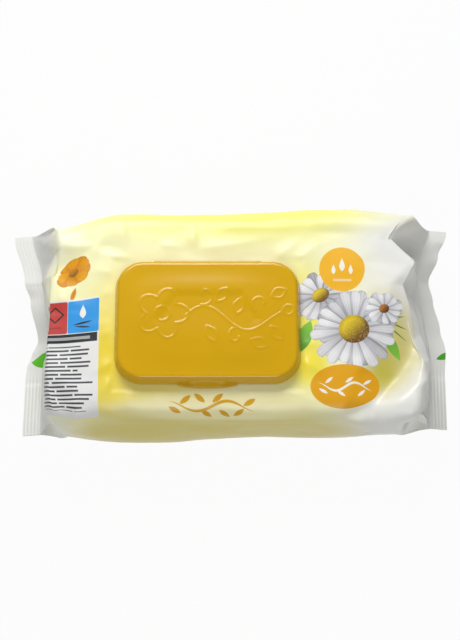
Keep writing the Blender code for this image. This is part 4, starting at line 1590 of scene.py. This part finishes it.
@dataclass
class BaseFrame:
    """The base of the lid, glued on the film: flange, rim, latch ribs and hinge tongue."""

    lid: FlipLid
    gap: float = 0.0008
    notch_margin: float = 0.0022
    notch_edge: float = 0.0015
    latch: tuple[float, float, float] = (0.008, 0.0012, 0.0028)
    latch_spacing: float = 0.050
    steps: int = 192
    plastic: MouldedPlastic = field(
        default_factory=lambda: MouldedPlastic("amber_polypropylene", "d9a106", 0.38)
    )

    def plate(self, inward: float, z: float) -> np.ndarray:
        """A loop round the flange, moved in, at a height, with its notch at the hinge."""
        set_in = self.lid.wall + self.gap + inward
        x, y = self.lid.half[0] - set_in, self.lid.half[1] - set_in
        corners = [(x, -y), (x, y), (-x, y), (-x, -y)]
        points = rounded_outline(corners, self.lid.corner - set_in, self.steps)
        notch = self.lid.hinge_width / 2 + self.notch_margin - np.abs(points[:, 0])
        notch = self.lid.hinge_recess * eased(notch / self.notch_edge)
        points[:, 1] -= np.where(points[:, 1] > 0, notch, 0.0)
        points = points + np.asarray(self.lid.centre)
        return np.column_stack([points, np.full(self.steps, z)])

    def mesh(self) -> bmesh.types.BMesh:
        """Builds the frame by sweeping its section round the opening."""
        low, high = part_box("lid_frame")
        base, rim = low[2], high[2]
        top = base + FLANGE
        plates = [(0.0002, base), (0.0, base + 0.0002), (0.0, top - 0.0002), (0.0002, top),
                  (0.0012, top)]
        sixes = [(0.0022, top), (0.0014, top + 0.0001), (0.0010, top + 0.0005),
                 (0.0010, rim - 0.0003), (0.0008, rim), (0.0002, rim), (0.0, rim - 0.0003),
                 (0.0, base)]
        loops = [self.plate(inward, z) for inward, z in plates]
        loops += [self.lid.hexagon_loop(out, z, self.steps) for out, z in sixes]
        bm = swept(loops, True)
        for side in (-1, 1):
            length, thick, height = self.latch
            x = self.lid.centre[0] + side * self.latch_spacing / 2
            y = self.lid.front + self.lid.wall + self.lid.draft + 0.0006
            rib = rounded_box(
                (x - length / 2, y, top - 0.0003), (x + length / 2, y + thick, top + height),
                0.0003,
            )
            bm = joined(bm, rib)
        half = self.lid.hinge_width / 2 - 0.0003
        tongue = rounded_box(
            (self.lid.centre[0] - half, self.lid.back - 0.006, low[2]),
            (self.lid.centre[0] + half, high[1], low[2] + 0.0004), 0.00012,
        )
        return joined(bm, tongue)

    def dress(self) -> Any:
        """Builds the frame.

        Returns:
            The object.
        """
        base = make_object("base_frame", self.mesh(), self.plastic.material())
        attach(base, "pack")
        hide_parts("lid_frame")
        return base


@dataclass
class HingeWeb:
    """The thin moulded web that folds round the hinge's axis between the frame and the lid."""

    lid: FlipLid
    thickness: float = 0.0003
    radius: float = 0.00045
    arm: float = 0.0006

    def mesh(self) -> bmesh.types.BMesh:
        """Builds the folded web by sweeping its section along the hinge."""
        x, y, z = self.lid.centre[0], self.lid.back + 0.0003, self.lid.low + 0.00035
        section = []
        for side in (1, -1):
            radius = self.radius + side * self.thickness / 2
            bend = [(y - self.arm, z - side * radius)]
            for step in range(CORNER_STEPS + 1):
                angle = math.pi * (step / CORNER_STEPS - 0.5) * side
                bend.append((y + radius * math.cos(angle), z + radius * math.sin(angle)))
            bend.append((y - self.arm, z + side * radius))
            section += bend
        half = self.lid.hinge_width / 2 - 0.0004
        loops = [
            np.asarray([(x + half * share, *point) for point in section])
            for share in np.linspace(-1.0, 1.0, 25)
        ]
        return swept(loops, False)

    def dress(self) -> Any:
        """Builds the web across the hinge.

        Returns:
            The object.
        """
        web = make_object("hinge_web", self.mesh(), self.lid.plastic.material())
        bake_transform(web)
        return web


@dataclass
class PeelLabel:
    """The peel-back label with its pull tab."""

    lid: FlipLid
    length: float = 0.050
    width: float = 0.024
    slant: float = 0.008
    corner: float = 0.004
    tab_half: float = 0.0065
    tab_edge: float = 0.0016
    tab_reach: float = 0.0025
    steps: int = 160

    def mesh(self) -> bmesh.types.BMesh:
        """Builds the label as a thin plate with a tab at its front edge."""
        low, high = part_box("peel_seal")
        corners = hexagon(self.length, self.width, self.slant, 0.0)
        outline = rounded_outline(corners, self.corner, self.steps)
        tab = eased((self.tab_half - np.abs(outline[:, 0])) / self.tab_edge)
        tab = tab * (outline[:, 1] < 0)
        front = -(self.width / 2 + self.tab_reach)
        outline[:, 1] = mixed(outline[:, 1], front, tab)
        loops = []
        for shrink, z in ((0.994, low[2]), (1.0, low[2] + 0.0001), (1.0, high[2] - 0.0001),
                          (0.994, high[2])):
            around = np.asarray(self.lid.centre) + outline * shrink
            loops.append(np.column_stack([around, np.full(self.steps, z)]))
        return swept(loops, False)

    def dress(self) -> Any:
        """Builds the label.

        Returns:
            The object.
        """
        half = (self.length / 2, self.width / 2)
        label = make_object(
            "peel_label", self.mesh(), LabelFilm().material(self.lid.centre, half)
        )
        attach(label, "pack")
        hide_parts("peel_seal")
        return label


@dataclass
class Studio:
    """The pale floor, the soft lights and the camera."""

    elevation: float = 75.5
    distance: float = 0.800
    focal_px: float = 1456.0
    frame_px: tuple[int, int] = (460, 640)
    aim: tuple[float, float, float] = (0.0003, 0.0034, 0.0309)
    sky: float = 0.23
    key_place: tuple[float, float, float] = (-0.08, 0.47, 0.50)
    key_size: float = 0.38
    key_watts: float = 3.7
    fill_place: tuple[float, float, float] = (0.0, -0.50, 0.62)
    fill_size: float = 0.40
    fill_watts: float = 1.7
    floor_glow: float = 0.955

    def camera(self) -> None:
        """Places the camera at the photograph's angle."""
        data = bpy.data.cameras.new("camera")
        data.sensor_width = 36.0
        data.lens = self.focal_px * data.sensor_width / max(self.frame_px)
        data.clip_start = 0.01
        angle = math.radians(self.elevation)
        back = Vector((0.0, -math.cos(angle), math.sin(angle)))
        obj = bpy.data.objects.new("camera", data)
        obj.location = Vector(self.aim) + back * self.distance
        obj.rotation_euler = (math.pi / 2 - angle, 0.0, 0.0)
        bpy.context.scene.collection.objects.link(obj)
        bpy.context.scene.camera = obj

    def floor(self) -> None:
        """Lays the pale floor, which shows white to the camera and keeps the shadow."""
        graph = Graph("pale_floor")
        path = graph.add("LightPath")
        seen = graph.add(
            MATH, (path.outputs["Is Camera Ray"], path.outputs["Is Glossy Ray"]),
            operation="MAXIMUM",
        )
        seen = graph.add(MATH, (seen, path.outputs["Is Transmission Ray"]), operation="MAXIMUM")
        amount = graph.add(MATH, (seen, self.floor_glow), operation="MULTIPLY")
        paint = graph.add("BsdfDiffuse", {"Color": linear("cdcdca")})
        white = graph.add("Emission", {"Color": (1.0, 1.0, 1.0, 1.0), "Strength": 1.0})
        shader = graph.add("MixShader", (amount, paint, white))
        bm = bmesh.new()
        bmesh.ops.create_grid(bm, x_segments=1, y_segments=1, size=12.0)
        floor = make_object("floor", bm, graph.finish(shader))

    def lights(self) -> None:
        """Sets the even sky and the soft key light, high and behind the pack."""
        world = bpy.data.worlds.new("soft_studio")
        world.use_nodes = True
        world.node_tree.nodes["Background"].inputs["Color"].default_value = (1.0, 1.0, 1.0, 1.0)
        world.node_tree.nodes["Background"].inputs["Strength"].default_value = self.sky
        bpy.context.scene.world = world
        self.lamp("key", self.key_place, self.key_size, self.key_watts)
        self.lamp("fill", self.fill_place, self.fill_size, self.fill_watts)

    def lamp(self, name: str, place: Sequence[float], size: float, watts: float) -> None:
        """Adds a square area light aimed at the pack."""
        data = bpy.data.lights.new(name, "AREA")
        data.size = size
        data.energy = watts
        lamp = bpy.data.objects.new(name, data)
        lamp.location = place
        aim = Vector((0.0, 0.0, 0.03)) - Vector(place)
        lamp.rotation_euler = aim.to_track_quat("-Z", "Y").to_euler()
        bpy.context.scene.collection.objects.link(lamp)

    def build(self) -> None:
        """Sets the whole studio."""
        self.camera()
        self.floor()
        self.lights()
        bpy.context.scene.view_settings.view_transform = "Standard"


def main() -> None:
    """Builds the pieces in order."""
    logging.basicConfig(level=logging.INFO, format="%(name)s: %(message)s")
    Studio().build()
    lid = FlipLid()
    makers: tuple[tuple[str, Callable[[], Any]], ...] = (
        ("film pack", FilmPack().dress),
        ("base frame", BaseFrame(lid).dress),
        ("peel label", PeelLabel(lid).dress),
        ("flip lid", lid.dress),
        ("hinge web", HingeWeb(lid).dress),
    )
    for name, make in makers:
        make()
        log.info("made the %s", name)


if __name__ == "__main__":
    main()
